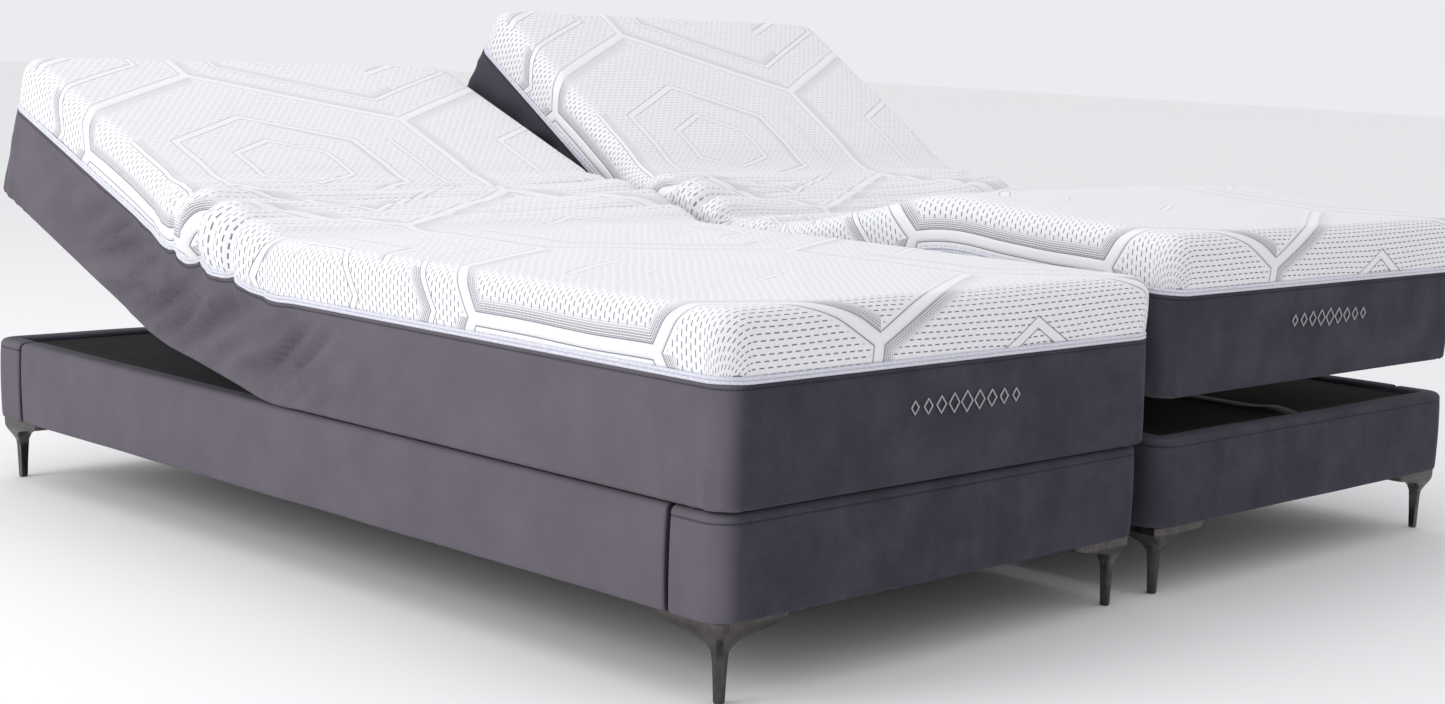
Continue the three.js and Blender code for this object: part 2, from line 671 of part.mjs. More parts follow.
function addBase(unit, side) {
  add(unit, side + "_foot_panel", endPanel(), velvet);
  add(unit, side + "_head_panel", endPanel(), velvet, (mesh) => {
    mesh.rotation.z = Math.PI;
    mesh.position.y = BASE_LENGTH;
  });
  add(unit, side + "_rail_r", sideRail(), velvet);
  add(unit, side + "_rail_l", sideRail(), velvet, (mesh) => {
    mesh.rotation.z = Math.PI;
    mesh.position.y = BASE_LENGTH;
  });
  add(unit, side + "_deck", deck(), deckCloth);
  const corners = [
    ["foot_l", -HALF, 0, 0],
    ["foot_r", HALF, 0, 1],
    ["head_r", HALF, BASE_LENGTH, 2],
    ["head_l", -HALF, BASE_LENGTH, 3],
  ];
  for (const [corner, x, y, quarterTurns] of corners) {
    add(unit, side + "_leg_" + corner, leg(), legMetal, (mesh) => {
      mesh.rotation.z = (quarterTurns * Math.PI) / 2;
      mesh.position.set(x, y, 0);
    });
  }
}

// Puts an actuator in a section's group, aimed from its bracket at the seat's tower pin, which is
// at (towerY, towerZ) as seen from that section. forward is +1 where it pulls towards the head.
function addActuator(group, prefix, bracketY, towerY, towerZ) {
  const bracketZ = HINGE_Z + BRACKET_RISE;
  const aim = Math.atan2(towerZ - bracketZ, towerY - bracketY);
  add(group, prefix + "_actuator_body", actuatorBody(), motorPlastic, (mesh) => {
    mesh.rotation.x = aim;
    mesh.position.set(0, bracketY, bracketZ);
  });
  add(group, prefix + "_actuator_rod", actuatorRod(), rodSteel, (mesh) => {
    mesh.rotation.x = aim;
    mesh.position.set(0, towerY, towerZ);
  });
}

// The link is drawn for the flat bed and turned about its seat pin until its far eye meets the
// far pin, which is at (farY, farZ) as the bed stands.
function addLink(unit, name, from, flatTo, farNow, tie) {
  const flatAngle = Math.atan2(flatTo[1] - from[1], flatTo[0] - from[0]);
  const nowAngle = Math.atan2(farNow[1] - from[1], farNow[0] - from[0]);
  const group = hinged(unit, ...from, THREE.MathUtils.radToDeg(nowAngle - flatAngle));
  add(group, name, linkPair(from, flatTo, tie), frameSteel);
}

function addSection(group, side, name, frame) {
  add(group, `${side}_${name}_casing`, casingSection(SECTIONS[name]), velvet);
  add(group, `${side}_${name}_pad`, padSection(SECTIONS[name]), knit);
  add(group, `${side}_${name}_frame`, frame, frameSteel);
}

function bedUnit(side) {
  const pose = POSES[side];
  const knee = pose.thigh * KNEE_RATIO;
  const unit = new THREE.Group();
  addBase(unit, side);
  const cushion = join(casingSection(SECTIONS.seat), padSection(SECTIONS.seat, CASING_TOP - 1));
  add(unit, side + "_seat_cushion", cushion, knit);
  add(unit, side + "_seat_frame", seatFrame(), frameSteel);

  const lumbar = hinged(unit, LUMBAR_Y, HINGE_Z, pose.lumbar);
  addSection(lumbar, side, "lumbar", lumbarFrame());
  const back = hinged(lumbar, BACK_Y, HINGE_Z, pose.back);
  addSection(back, side, "back", backFrame());
  const thigh = hinged(unit, HIP_Y, HINGE_Z, -pose.thigh);
  addSection(thigh, side, "thigh", thighFrame());
  const calf = hinged(thigh, KNEE_Y, HINGE_Z, knee);
  addSection(calf, side, "calf", calfFrame());

  const towerZ = HINGE_Z + TOWER_RISE;
  const headTower = turned(LUMBAR_Y - TOWER_OFFSET, towerZ, LUMBAR_Y, HINGE_Z, -pose.lumbar);
  addActuator(lumbar, side + "_head", LUMBAR_Y + HEAD_REACH, ...headTower);
  const footTower = turned(HIP_Y + TOWER_OFFSET, towerZ, HIP_Y, HINGE_Z, pose.thigh);
  addActuator(thigh, side + "_foot", HIP_Y - FOOT_REACH, ...footTower);

  const backFrom = [LUMBAR_Y, HINGE_Z - BACK_LINK_OFFSET];
  const backTo = [BACK_Y, HINGE_Z + BACK_LINK_OFFSET];
  const backOnLumbar = turned(...backTo, BACK_Y, HINGE_Z, pose.back);
  const backNow = turned(...backOnLumbar, LUMBAR_Y, HINGE_Z, pose.lumbar);
  addLink(unit, side + "_back_link", backFrom, backTo, backNow, 0.5);

  const kneeFrom = [HIP_Y, HINGE_Z + KNEE_LINK_SEAT];
  const kneeTo = [KNEE_Y, HINGE_Z + KNEE_LINK_CALF];
  const kneeOnThigh = turned(...kneeTo, KNEE_Y, HINGE_Z, knee);
  const kneeNow = turned(...kneeOnThigh, HIP_Y, HINGE_Z, -pose.thigh);
  addLink(unit, side + "_knee_link", kneeFrom, kneeTo, kneeNow, 0.09);
  return unit;
}

// The origin is on the floor, at the middle of the box round the whole bed.
const MIDDLE_Y = (BASE_LENGTH - OVERHANG) / 2;
const bed = new THREE.Group();
add(bed, "joining_plate", box(-95, 95, -150, 150, LEG_HEIGHT - 5.5, LEG_HEIGHT - SKIN_GAP), frameSteel);
for (const [side, direction] of [["left", -1], ["right", 1]]) {
  const unit = bedUnit(side);
  if (side === "left") add(unit, "control_box", controlBox(), motorPlastic);
  unit.position.set((direction * UNIT_SPACING) / 2, -MIDDLE_Y, 0);
  bed.add(unit);
}

export default bed;
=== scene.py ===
"""A split adjustable bed: two upholstered bases on cast legs, with electric bending mattresses.

The mattress fabric is modelled flat, then bent over the hinges to the angles at which each unit
stands, and cut in the stiff stretches between hinges, so that each piece crosses one joint only.
"""

import json
import math

import bmesh
import bpy
from mathutils import Matrix, Vector, noise
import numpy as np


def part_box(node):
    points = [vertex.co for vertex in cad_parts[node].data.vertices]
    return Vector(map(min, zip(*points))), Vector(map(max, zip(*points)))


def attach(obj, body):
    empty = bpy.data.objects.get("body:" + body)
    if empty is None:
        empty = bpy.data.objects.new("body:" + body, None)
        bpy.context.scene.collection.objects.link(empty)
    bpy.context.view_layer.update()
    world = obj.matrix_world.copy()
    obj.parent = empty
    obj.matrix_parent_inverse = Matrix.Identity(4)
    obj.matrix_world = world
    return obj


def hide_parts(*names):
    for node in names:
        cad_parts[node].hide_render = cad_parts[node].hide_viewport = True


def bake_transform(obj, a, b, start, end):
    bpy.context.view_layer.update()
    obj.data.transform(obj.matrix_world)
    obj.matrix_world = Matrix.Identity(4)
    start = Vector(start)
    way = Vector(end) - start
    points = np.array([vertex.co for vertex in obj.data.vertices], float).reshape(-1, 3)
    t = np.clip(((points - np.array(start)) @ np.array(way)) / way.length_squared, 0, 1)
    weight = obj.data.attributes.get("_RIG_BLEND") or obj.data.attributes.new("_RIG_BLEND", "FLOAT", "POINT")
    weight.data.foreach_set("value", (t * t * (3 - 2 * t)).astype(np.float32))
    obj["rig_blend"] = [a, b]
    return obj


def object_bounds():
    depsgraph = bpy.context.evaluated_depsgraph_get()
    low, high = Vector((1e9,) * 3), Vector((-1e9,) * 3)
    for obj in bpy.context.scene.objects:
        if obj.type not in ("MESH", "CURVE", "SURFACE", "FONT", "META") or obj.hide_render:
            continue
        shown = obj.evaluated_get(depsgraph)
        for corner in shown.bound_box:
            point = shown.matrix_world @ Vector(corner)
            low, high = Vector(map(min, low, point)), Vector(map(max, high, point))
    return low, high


bl_info = {
    "name": "Split adjustable bed",
    "version": (1, 0, 0),
    "blender": (4, 5, 0),
    "location": "3D View > Sidebar > Bed",
    "description": "Builds a pair of adjustable beds with bending mattresses",
    "category": "Add Mesh",
}

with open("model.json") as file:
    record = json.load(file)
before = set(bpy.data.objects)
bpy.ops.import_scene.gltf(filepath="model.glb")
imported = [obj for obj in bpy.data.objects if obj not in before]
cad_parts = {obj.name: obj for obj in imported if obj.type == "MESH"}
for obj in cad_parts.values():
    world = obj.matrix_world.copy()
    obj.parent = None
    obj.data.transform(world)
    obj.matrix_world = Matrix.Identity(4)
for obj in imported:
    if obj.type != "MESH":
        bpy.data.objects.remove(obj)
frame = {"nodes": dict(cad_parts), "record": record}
CAD_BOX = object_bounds()

JOINTS = {joint["name"]: joint for joint in frame["record"]["behaviour"]["joints"]}
# The middle of each unit across the pair, and the middle of the bases along it.
UNITS = {"left": -0.475, "right": 0.475}
BASE_MIDDLE_Y = (CAD_BOX[0].y + CAD_BOX[1].y) / 2 + 0.006
CORNERS = {"foot_l": (-1, -1), "foot_r": (1, -1), "head_r": (1, 1), "head_l": (-1, 1)}

# Along the flat mattress, from the foot end: where each hinge lies, and the stretch of fabric that
# turns over it.
HINGE_Z = 0.3
HINGES = {
    "knee": (-0.514, (-0.634, -0.394)),
    "hip": (-0.114, (-0.205, -0.029)),
    "lumbar": (0.066, (-0.019, 0.155)),
    "back": (0.406, (0.276, 0.536)),
}
# Each piece of fabric: its name, the bodies that it joins, their hinge, and where it is cut.
STRETCHES = (
    ("foot", "calf", "thigh", "knee", -2.0, -0.304),
    ("lap", "thigh", "root", "hip", -0.304, -0.024),
    ("waist", "root", "lumbar", "lumbar", -0.024, 0.241),
    ("head", "lumbar", "back", "back", 0.241, 2.0),
)
CUTS = tuple(stretch[-1] for stretch in STRETCHES[:-1])

# How far fabric may be pushed out towards the other unit, and away from it.
INNER_PUSH, OUTER_PUSH = 0.015, 0.04
QUICK_STEP, FULL_STEP = 0.013, 0.0095
# How far below a panel's or a casing's upper edge its stitching runs.
PANEL_SEAM, CASING_SEAM = 0.0135, 0.009
STITCH = 0.0055


def eased(value, low, high):
    """0 below low and 1 above high, with a smooth rise between."""
    share = min(max((value - low) / (high - low), 0.0), 1.0)
    return share * share * (3 - 2 * share)


def hill(value, centre, width):
    return math.exp(-(((value - centre) / width) ** 2))


# ---------------------------------------------------------------- sizes and colours


def length(name, description, default):
    return bpy.props.FloatProperty(
        name=name, description=description, default=default, min=0.0, unit="LENGTH", precision=4
    )


def colour(name, description, default):
    return bpy.props.FloatVectorProperty(
        name=name, description=description, default=default, min=0, max=1, size=3, subtype="COLOR"
    )


class BedMattressSettings(bpy.types.PropertyGroup):
    half_width: length("Half width", "From the centre line to the casing's side", 0.4525)
    reach: length("Reach", "From the middle of the bed to the casing's foot and head", 1.001)
    casing_bottom: length("Casing bottom", "Height of the casing's underside", 0.2655)
    casing_top: length("Casing top", "Height of the velvet border's upper edge", 0.4352)
    knit_bottom: length("Knit bottom", "Height of the knitted top's lower edge", 0.4402)
    knit_top: length("Knit top", "Height of the knitted top's middle", 0.529)
    casing_corner: length("Casing corner", "Radius of the casing's upright corners", 0.038)
    knit_corner: length("Knit corner", "Radius of the knitted top's upright corners", 0.043)
    knit_edge: length("Knit edge", "Radius round the knitted top's upper edge", 0.027)
    cord: length("Piping", "Radius of each of the two piping cords", 0.0028)
    cell: length("Quilting cell", "Width of one cell of the quilting", 0.68)
    # Velvet is the velvet's own colour, which the ends keep as painted shade; the colour after it is a
    # lighter copy, painted light for the sides and tops.
    velvet: colour("Velvet", "Velvet's own colour, kept on the ends as painted shade", (0.043, 0.039, 0.055))
    painted_light: colour("Lit velvet (painted light)", "Lighter copy of the velvet, painted as light on the sides and tops", (0.122, 0.11, 0.131))
    knit: colour("Knit", "Colour of the knitted top", (0.83, 0.835, 0.85))
    yarn: colour("Pattern yarn", "Grey yarn of the knitted pattern", (0.11, 0.11, 0.15))
    piping: colour("Piping", "Colour of the piping", (0.68, 0.68, 0.76))


class BedBaseSettings(bpy.types.PropertyGroup):
    half_width: length("Half width", "From the centre line to the base's side", 0.45)
    reach: length("Reach", "From the middle of the bed to the base's foot and head", 1.0)
    bottom: length("Panel bottom", "Height of the panels' lower edge", 0.115)
    top: length("Panel top", "Height of the panels' upper edge", 0.262)
    thickness: length("Thickness", "Thickness of the panels", 0.045)
    corner: length("Corner", "Radius of the base's upright corners", 0.042)
    wrap: length("Return", "How far the end panels wrap round the sides", 0.102)
    gap: length("Gap", "Between an end panel and a side rail", 0.008)
    strap_width: length("Strap width", "Width of the retaining strap", 0.042)
    metal: colour("Leg metal", "Colour of the cast legs", (0.075, 0.068, 0.064))
    cloth: colour("Deck cloth", "Colour of the deck's cloth", (0.006, 0.006, 0.0065))


class BedStageSettings(bpy.types.PropertyGroup):
    floor: colour("Floor", "Colour of the floor", (0.93, 0.93, 0.93))
    floor_size: length("Floor size", "Width of the floor", 60.0)


# ---------------------------------------------------------------- materials


class Amount:
    """A number that varies over a surface; arithmetic on it adds Math nodes."""

    def __init__(self, shader, socket):
        self.shader = shader
        self.socket = socket

    def maths(self, operation, *terms):
        return self.shader.add("ShaderNodeMath", {"operation": operation}, terms)

    def __rsub__(self, other):
        return self.maths("SUBTRACT", other, self)

    def __abs__(self):
        return self.maths("ABSOLUTE", self)

    def floor(self):
        return self.maths("FLOOR", self)

    def rise(self, low, high):
        """0 below low and 1 above high, or the reverse where low is the larger."""
        start, end = (low, high) if low < high else (high, low)
        below, above = (0.0, 1.0) if low < high else (1.0, 0.0)
        values = {
            "Value": self, "From Min": start, "From Max": end, "To Min": below, "To Max": above
        }
        return self.shader.add(
            "ShaderNodeMapRange", {"interpolation_type": "SMOOTHSTEP"}, values
        )

    def line(self, centre, half, blur):
        """1 within half of centre, and 0 past blur outside it."""
        return abs(self - centre).rise(half + blur, half)

    def stripes(self, pitch, half, blur):
        """Stripes a pitch apart; half and blur are shares of the pitch."""
        return ((self / pitch) % 1.0).line(0.5, half, blur)


def overload(operation):
    return lambda self, other: self.maths(operation, self, other)


for method, operation in {
    "__add__": "ADD", "__radd__": "ADD", "__sub__": "SUBTRACT", "__mul__": "MULTIPLY",
    "__rmul__": "MULTIPLY", "__truediv__": "DIVIDE", "__mod__": "FLOORED_MODULO",
    "__lt__": "LESS_THAN", "__gt__": "GREATER_THAN", "above": "MAXIMUM", "below": "MINIMUM",
}.items():
    setattr(Amount, method, overload(operation))


class Shader:
    """One material and its nodes."""

    def __init__(self, name, base, roughness, **constants):
        self.material = bpy.data.materials.new(name)
        self.material.use_nodes = True
        self.tree = self.material.node_tree
        self.surface = self.tree.nodes["Principled BSDF"]
        self.surface.inputs["Base Color"].default_value = (*base, 1)
        self.surface.inputs["Roughness"].default_value = roughness
        for socket, value in constants.items():
            self.surface.inputs[socket.replace("_", " ")].default_value = value

    def add(self, kind, settings=None, values=(), output=0):
        """Adds a node, sets it up, and returns one of its outputs."""
        node = self.tree.nodes.new(kind)
        for name, value in (settings or {}).items():
            setattr(node, name, value)
        pairs = values.items() if isinstance(values, dict) else enumerate(values)
        for key, value in pairs:
            if isinstance(value, Amount):
                self.tree.links.new(value.socket, node.inputs[key])
            else:
                node.inputs[key].default_value = value
        return Amount(self, node.outputs[output])

    def feed(self, **links):
        for name, value in links.items():
            self.tree.links.new(value.socket, self.surface.inputs[name.replace("_", " ")])

    def place(self):
        return self.add("ShaderNodeTexCoord", output="Object")

    def cloth_place(self):
        """Metres along and across the cloth, from the piece's own UV map."""
        cloth = self.add("ShaderNodeUVMap", {"uv_map": "Cloth"})
        split = self.add("ShaderNodeSeparateXYZ", None, [cloth])
        return cloth, split, Amount(self, split.socket.node.outputs[1])

    def noise(self, place, scale, detail=2.0, roughness=0.5):
        values = {"Vector": place, "Scale": scale, "Detail": detail, "Roughness": roughness}
        return self.add("ShaderNodeTexNoise", None, values, output="Fac")

    def stretched(self, place, scale):
        return self.add("ShaderNodeMapping", None, {"Vector": place, "Scale": scale})

    def blend(self, share, first, second):
        """A colour between two, each a colour or the output of another blend."""
        low, high = (c if isinstance(c, Amount) else (*c, 1) for c in (first, second))
        values = {0: share, 6: low, 7: high}
        return self.add("ShaderNodeMix", {"data_type": "RGBA"}, values, output=2)

    def finish(self, base, roughness, height):
        """Links the colour, the roughness and the relief in metres, and returns the material."""
        self.feed(Base_Color=base, Roughness=roughness)
        values = {"Strength": 1.0, "Distance": 1.0, "Height": height}
        self.feed(Normal=self.add("ShaderNodeBump", None, values))
        return self.material


def shade(tint, factor):
    return tuple(min(channel * factor, 1.0) for channel in tint)


def velvet_material(name, settings, seam=None):
    """Short-pile velvet, with a row of stitching at the seam's height where it has one."""
    tint, lit_tint = tuple(settings.velvet), tuple(settings.painted_light)
    shader = Shader(
        name, tint, 0.85, Sheen_Weight=0.08, Sheen_Roughness=0.42, Specular_IOR_Level=0.14
    )
    shader.surface.inputs["Sheen Tint"].default_value = (0.62, 0.6, 0.72, 1)
    place = shader.place()
    _, along, up = shader.cloth_place()
    # Share of painted light at each vertex, 0 to 1, written by map_velvet and varied along the creases by
    # shape_casing.
    lit_share = shader.add("ShaderNodeAttribute", {"attribute_name": "painted_light"}, output="Fac")
    crushed = shader.noise(place, 9.0, 5.0, 0.62)
    pile = shader.noise(place, 900.0, 2.0)
    streaks = shader.noise(shader.stretched(place, (38.0, 38.0, 5.0)), 1.0, 3.0)
    mottle = crushed.rise(0.3, 0.72)
    brushed = streaks.rise(0.35, 0.7)
    dark = shader.blend(mottle, shade(tint, 0.8), shade(tint, 1.2))
    light = shader.blend(mottle, shade(lit_tint, 0.93), shade(lit_tint, 1.05))
    # Painted light and shade: the lighter copy of the velvet on the sides and tops, the velvet's own colour
    # as painted shade on the ends.
    base = shader.blend(lit_share, dark, light)
    base = shader.blend(brushed * 0.03, base, shade(lit_tint, 1.2))
    base = shader.blend(pile.rise(0.42, 0.75) * 0.12, base, shade(lit_tint, 1.3))
    height = pile * 0.0002 + crushed * 0.0008
    if seam is not None:
        step = (along / STITCH) % 1.0
        stitch = step.rise(0.2, 0.3) * step.rise(0.95, 0.85)
        thread = up.line(seam, 0.0006, 0.0006)
        # Painted shade in the fold along the seam, which is also sunk in the relief; the stitches are the
        # thread's own dark colour.
        fold = up.line(seam, 0.0003, 0.0028)
        base = shader.blend(fold * 0.25, base, shade(tint, 0.5))
        base = shader.blend(thread * stitch * 0.7, base, shade(tint, 0.2))
        height = height - fold * 0.0009
    return shader.finish(base, 0.9 - mottle * 0.14, height)


def knit_material(settings):
    """White jacquard knit: a honeycomb of plain quilted bands over rows of grey dashes."""
    white, grey = tuple(settings.knit), tuple(settings.yarn)
    shader = Shader("Jacquard knit", white, 0.88, Sheen_Weight=0.25, Specular_IOR_Level=0.2)
    cloth, across, along = shader.cloth_place()
    drift = shader.noise(cloth, 2.2, 2.0) - 0.5
    u = across + drift * 0.022
    v = along + (shader.noise(cloth, 1.7, 2.0) - 0.5) * 0.03

    # The nearest cell of the honeycomb: its centre is that of one of two square grids.
    cell = settings.cell
    row = math.sqrt(3.0)
    x = u / cell + 0.265
    y = v / cell - 0.75
    ax, ay = x % 1.0 - 0.5, y % row - row / 2
    bx, by = (x - 0.5) % 1.0 - 0.5, (y - row / 2) % row - row / 2
    pick = (ax * ax + ay * ay) < (bx * bx + by * by)
    gx = pick * ax + (1 - pick) * bx
    gy = pick * ay + (1 - pick) * by
    upright = abs(gx)
    slanting = abs(gx) * 0.5 + abs(gy) * (row / 2)
    edge = (0.5 - upright.above(slanting)) * cell
    lengthwise = upright > slanting
    lot = shader.add(
        "ShaderNodeTexWhiteNoise",
        {"noise_dimensions": "2D"},
        {"Vector": shader.add("ShaderNodeCombineXYZ", None, [
            ((x - gx) * 2.0 + 0.5).floor(), ((y - gy) / row * 2.0 + 0.5).floor(),
        ])},
        output="Value",
    )
    band = edge.rise(0.0105, 0.0095)
    outline = edge.line(0.0105, 0.0006, 0.0007)
    outer_ring = (gy > -0.2).above(gx > 0.1) * (lot > 0.12).above(gx < 0.0)
    inner_ring = ((gx > -0.12) * (gy < 0.1)).above(lot > 0.6)
    near_ring = (gy < 0.16) * (lot > 0.15)
    inner_band = inner_line = None
    for middle, half, offset, shown in (
        (0.162, 0.0065, 0.0075, outer_ring), (0.252, 0.0055, 0.0065, inner_ring),
        (0.082, 0.005, 0.0058, near_ring),
    ):
        ring = edge.line(middle, half, 0.0006) * shown
        lines = abs(edge - middle).line(offset, 0.0004, 0.0006) * shown
        inner_band = ring if inner_band is None else inner_band.above(ring)
        inner_line = lines if inner_line is None else inner_line.above(lines)
    shaded_side = (gx < 0.0) * edge.rise(0.0118, 0.0122)
    ticks = lengthwise * v + (1 - lengthwise) * u
    hatch = edge.stripes(0.0036, 0.26, 0.14) * ticks.stripes(0.003, 0.32, 0.16)
    ring_hatch = outer_ring * (gx > 0.05) * edge.rise(0.17, 0.1705) * edge.rise(0.192, 0.172)
    near_hatch = near_ring * (gx < 0.1) * edge.rise(0.0878, 0.0882) * edge.rise(0.116, 0.096)
    hatch = hatch * (shaded_side * edge.rise(0.038, 0.018)).above(ring_hatch).above(near_hatch)
    plain = (1 - band) * (1 - inner_band) * edge.rise(0.015, 0.02)
    plain = plain * (1 - shaded_side * edge.rise(0.032, 0.027))
    plain = plain * (1 - ring_hatch.above(near_hatch).rise(0.1, 0.3))

    rows = (u / 0.0155) % 1.0
    column = v / 0.0092
    odd = (column % 2.0) > 1.0
    dash = ((rows + odd * 0.5) % 1.0).line(0.5, 0.27, 0.05)
    dash = dash * (column % 1.0).line(0.5, 0.07, 0.06) * plain

    # Painted light: the marks are fainter on the brightly lit top and darker on the sides and the foot end,
    # which stand in shade.
    low = abs(across).rise(0.425, 0.475).above(along.rise(-0.955, -1.005))
    mark = (dash * (0.3 + low * 0.6)).above(hatch * (0.34 + low * 0.5))
    mark = mark.above(outline * (0.38 + low * 0.5)).above(inner_line * (0.34 + low * 0.5))
    base = shader.blend(mark, white, grey)
    soiling = shader.noise(cloth, 60.0, 3.0).rise(0.35, 0.7)
    base = shader.blend(soiling * 0.06, base, shade(white, 0.86))

    loops = u.stripes(0.0016, 0.2, 0.3) * v.stripes(0.0021, 0.2, 0.3)
    puff = edge.rise(0.008, 0.05) * 0.0012 + edge.rise(0.0095, 0.002) * 0.0006
    puff = puff - edge.line(0.0105, 0.001, 0.003) * 0.0009
    puff = puff - inner_line * 0.0009
    height = puff - dash * 0.0005 - hatch * 0.0001 + loops * 0.00009 * plain
    return shader.finish(base, 0.9 - band * 0.16, height)


def cord_material(settings):
    shader = Shader("Piping cord", tuple(settings.piping), 0.6, Sheen_Weight=0.2)
    place = shader.place()
    tone = shader.noise(place, 260.0, 2.0)
    weave = shader.noise(shader.stretched(place, (700.0, 700.0, 1500.0)), 1.0, 1.0)
    tint = tuple(settings.piping)
    base = shader.blend(tone.rise(0.35, 0.7), shade(tint, 0.9), shade(tint, 1.08))
    return shader.finish(base, 0.5 + weave * 0.25, weave * 0.0003)


def deck_material(settings):
    """Black woven cloth with a taped border set off by a groove."""
    tint = tuple(settings.cloth)
    shader = Shader("Deck cloth", tint, 0.9, Sheen_Weight=0.03, Specular_IOR_Level=0.12)
    place = shader.place()
    split = shader.add("ShaderNodeSeparateXYZ", None, [place])
    y = Amount(shader, split.socket.node.outputs[1])
    half_width, half_length, middle_y = 0.402, 0.952, 0.006
    side = half_width - abs(abs(split) - UNITS["right"])
    rim = side.below(half_length - abs(y - middle_y))
    groove = rim.line(0.036, 0.0012, 0.0016)
    weave = split.stripes(0.0022, 0.2, 0.3) * y.stripes(0.0022, 0.2, 0.3) * rim.rise(0.037, 0.039)
    tape = rim.stripes(0.003, 0.2, 0.3) * rim.rise(0.036, 0.034)
    wear = shader.noise(place, 14.0, 4.0)
    base = shader.blend(weave * 0.7, tint, shade(tint, 2.6))
    base = shader.blend(tape * 0.5, base, shade(tint, 2.1))
    # Painted shade in the groove, which is also sunk in the relief.
    base = shader.blend(groove, base, shade(tint, 0.3))
    base = shader.blend(wear.rise(0.5, 0.75) * 0.2, base, shade(tint, 3.2))
    height = weave * 0.0005 + tape * 0.0004 - groove * 0.002
    return shader.finish(base, 0.95 - wear * 0.15, height)


def webbing_material():
    shader = Shader("Strap webbing", (0.014, 0.014, 0.016), 0.6, Sheen_Weight=0.15)
    _, across, along = shader.cloth_place()
    ribs = across.stripes(0.003, 0.18, 0.3)
    picks = along.stripes(0.0018, 0.2, 0.3)
    base = shader.blend(ribs * picks, (0.01, 0.01, 0.012), (0.045, 0.045, 0.05))
    return shader.finish(base, 0.75 - ribs * 0.2, ribs * 0.0004 + picks * 0.0002)


def thread_material():
    shader = Shader("Embroidery thread", (0.42, 0.43, 0.44), 0.38, Sheen_Weight=0.3)
    strands = shader.noise(shader.stretched(shader.place(), (900.0, 900.0, 2400.0)), 1.0, 1.0)
    base = shader.blend(strands.rise(0.3, 0.7), (0.3, 0.31, 0.32), (0.52, 0.53, 0.54))
    return shader.finish(base, 0.3 + strands * 0.3, strands * 0.0003)


def leg_material(settings):
    """Cast alloy, dark bronze, with cast mottling and lighter brushed streaks."""
    tint = tuple(settings.metal)
    shader = Shader("Cast bronze", tint, 0.34, Metallic=0.86, Coat_Weight=0.15, Coat_Roughness=0.3)
    place = shader.place()
    cast = shader.noise(place, 55.0, 4.0)
    brushing = shader.noise(shader.stretched(place, (420.0, 420.0, 9.0)), 1.0, 3.0)
    grain = shader.noise(place, 1400.0, 2.0)
    base = shader.blend(cast.rise(0.3, 0.75), shade(tint, 0.8), shade(tint, 1.5))
    base = shader.blend(brushing.rise(0.45, 0.75) * 0.5, base, shade(tint, 2.2))
    roughness = 0.24 + cast * 0.16 + brushing * 0.16
    return shader.finish(base, roughness, grain * 0.00006 + brushing * 0.00012)


def enamel_material(name, tint, roughness, metallic=0.0):
    """Powder-coated steel or moulded plastic."""
    shader = Shader(name, tint, roughness, Metallic=metallic)
    place = shader.place()
    peel = shader.noise(place, 700.0, 2.0)
    dust = shader.noise(place, 12.0, 4.0)
    base = shader.blend(dust.rise(0.4, 0.75) * 0.5, shade(tint, 0.85), shade(tint, 1.7))
    return shader.finish(base, roughness - 0.06 + dust * 0.16, peel * 0.00012)


def rod_material():
    shader = Shader("Ground steel rod", (0.55, 0.56, 0.58), 0.25, Metallic=1.0)
    place = shader.place()
    lines = shader.noise(shader.stretched(place, (60.0, 900.0, 900.0)), 1.0, 3.0)
    base = shader.blend(lines, (0.42, 0.43, 0.45), (0.66, 0.67, 0.69))
    return shader.finish(base, 0.16 + lines * 0.2, lines * 0.00008)


# ---------------------------------------------------------------- bending


class Spine:
    """One unit's hinges, and the angle that each is bent from flat as the bed stands."""

    def __init__(self, side):
        self.side = side
        self.middle = UNITS[side]
        # A joint's lower limit is the flat bed, and its zero is the bed as it stands.
        knee, thigh, lumbar, back = (
            -JOINTS[f"{side}_{hinge}_hinge"]["range_deg"][0]
            for hinge in ("knee", "thigh", "lumbar", "back")
        )
        self.angles = {"knee": knee, "hip": -thigh, "lumbar": lumbar, "back": back}

    def bent(self, point, along=None):
        """Where a point of the flat mattress lies as the bed stands, by its place on the spine."""
        along = point.y if along is None else along
        for hinge in ("back", "lumbar", "knee", "hip"):
            place, (start, end) = HINGES[hinge]
            share = eased(along, start, end)
            if hinge in ("knee", "hip"):
                share = 1 - share
            angle = math.radians(self.angles[hinge]) * share
            axis = Vector((0, place, HINGE_Z))
            point = axis + Matrix.Rotation(angle, 3, "X") @ (point - axis)
        return Vector((point.x + self.middle, point.y, point.z))

    def fold(self, along):
        """How strongly the fabric is gathered at a place on the spine, about 0 to 1."""
        raised = self.angles["lumbar"] + self.angles["back"]
        gather = min(raised / 22, 1.2) * hill(along, 0.27 - 0.006 * (raised - 21), 0.14)
        return max(gather, abs(self.angles["hip"]) / 14 * hill(along, -0.04, 0.1))

    def tuck(self, flat):
        """The pillows and small creases of the gathered fabric at a place, each 0 to about 1."""
        return tucks(flat, 3.1 + self.middle, 0.094), tucks(flat, 7.7 + self.middle, 0.037)

    def scallop(self, flat):
        """How far the fabric's border is pushed out and drawn down between the folds."""
        gather = self.fold(flat.y)
        big, small = self.tuck(Vector((math.copysign(0.457, flat.x), flat.y, 0)))
        limit = INNER_PUSH if flat.x * self.middle < 0 else OUTER_PUSH
        return min(gather * (0.014 * big + 0.005 * small), limit), gather * (0.022 * big - 0.01)


# ---------------------------------------------------------------- meshes


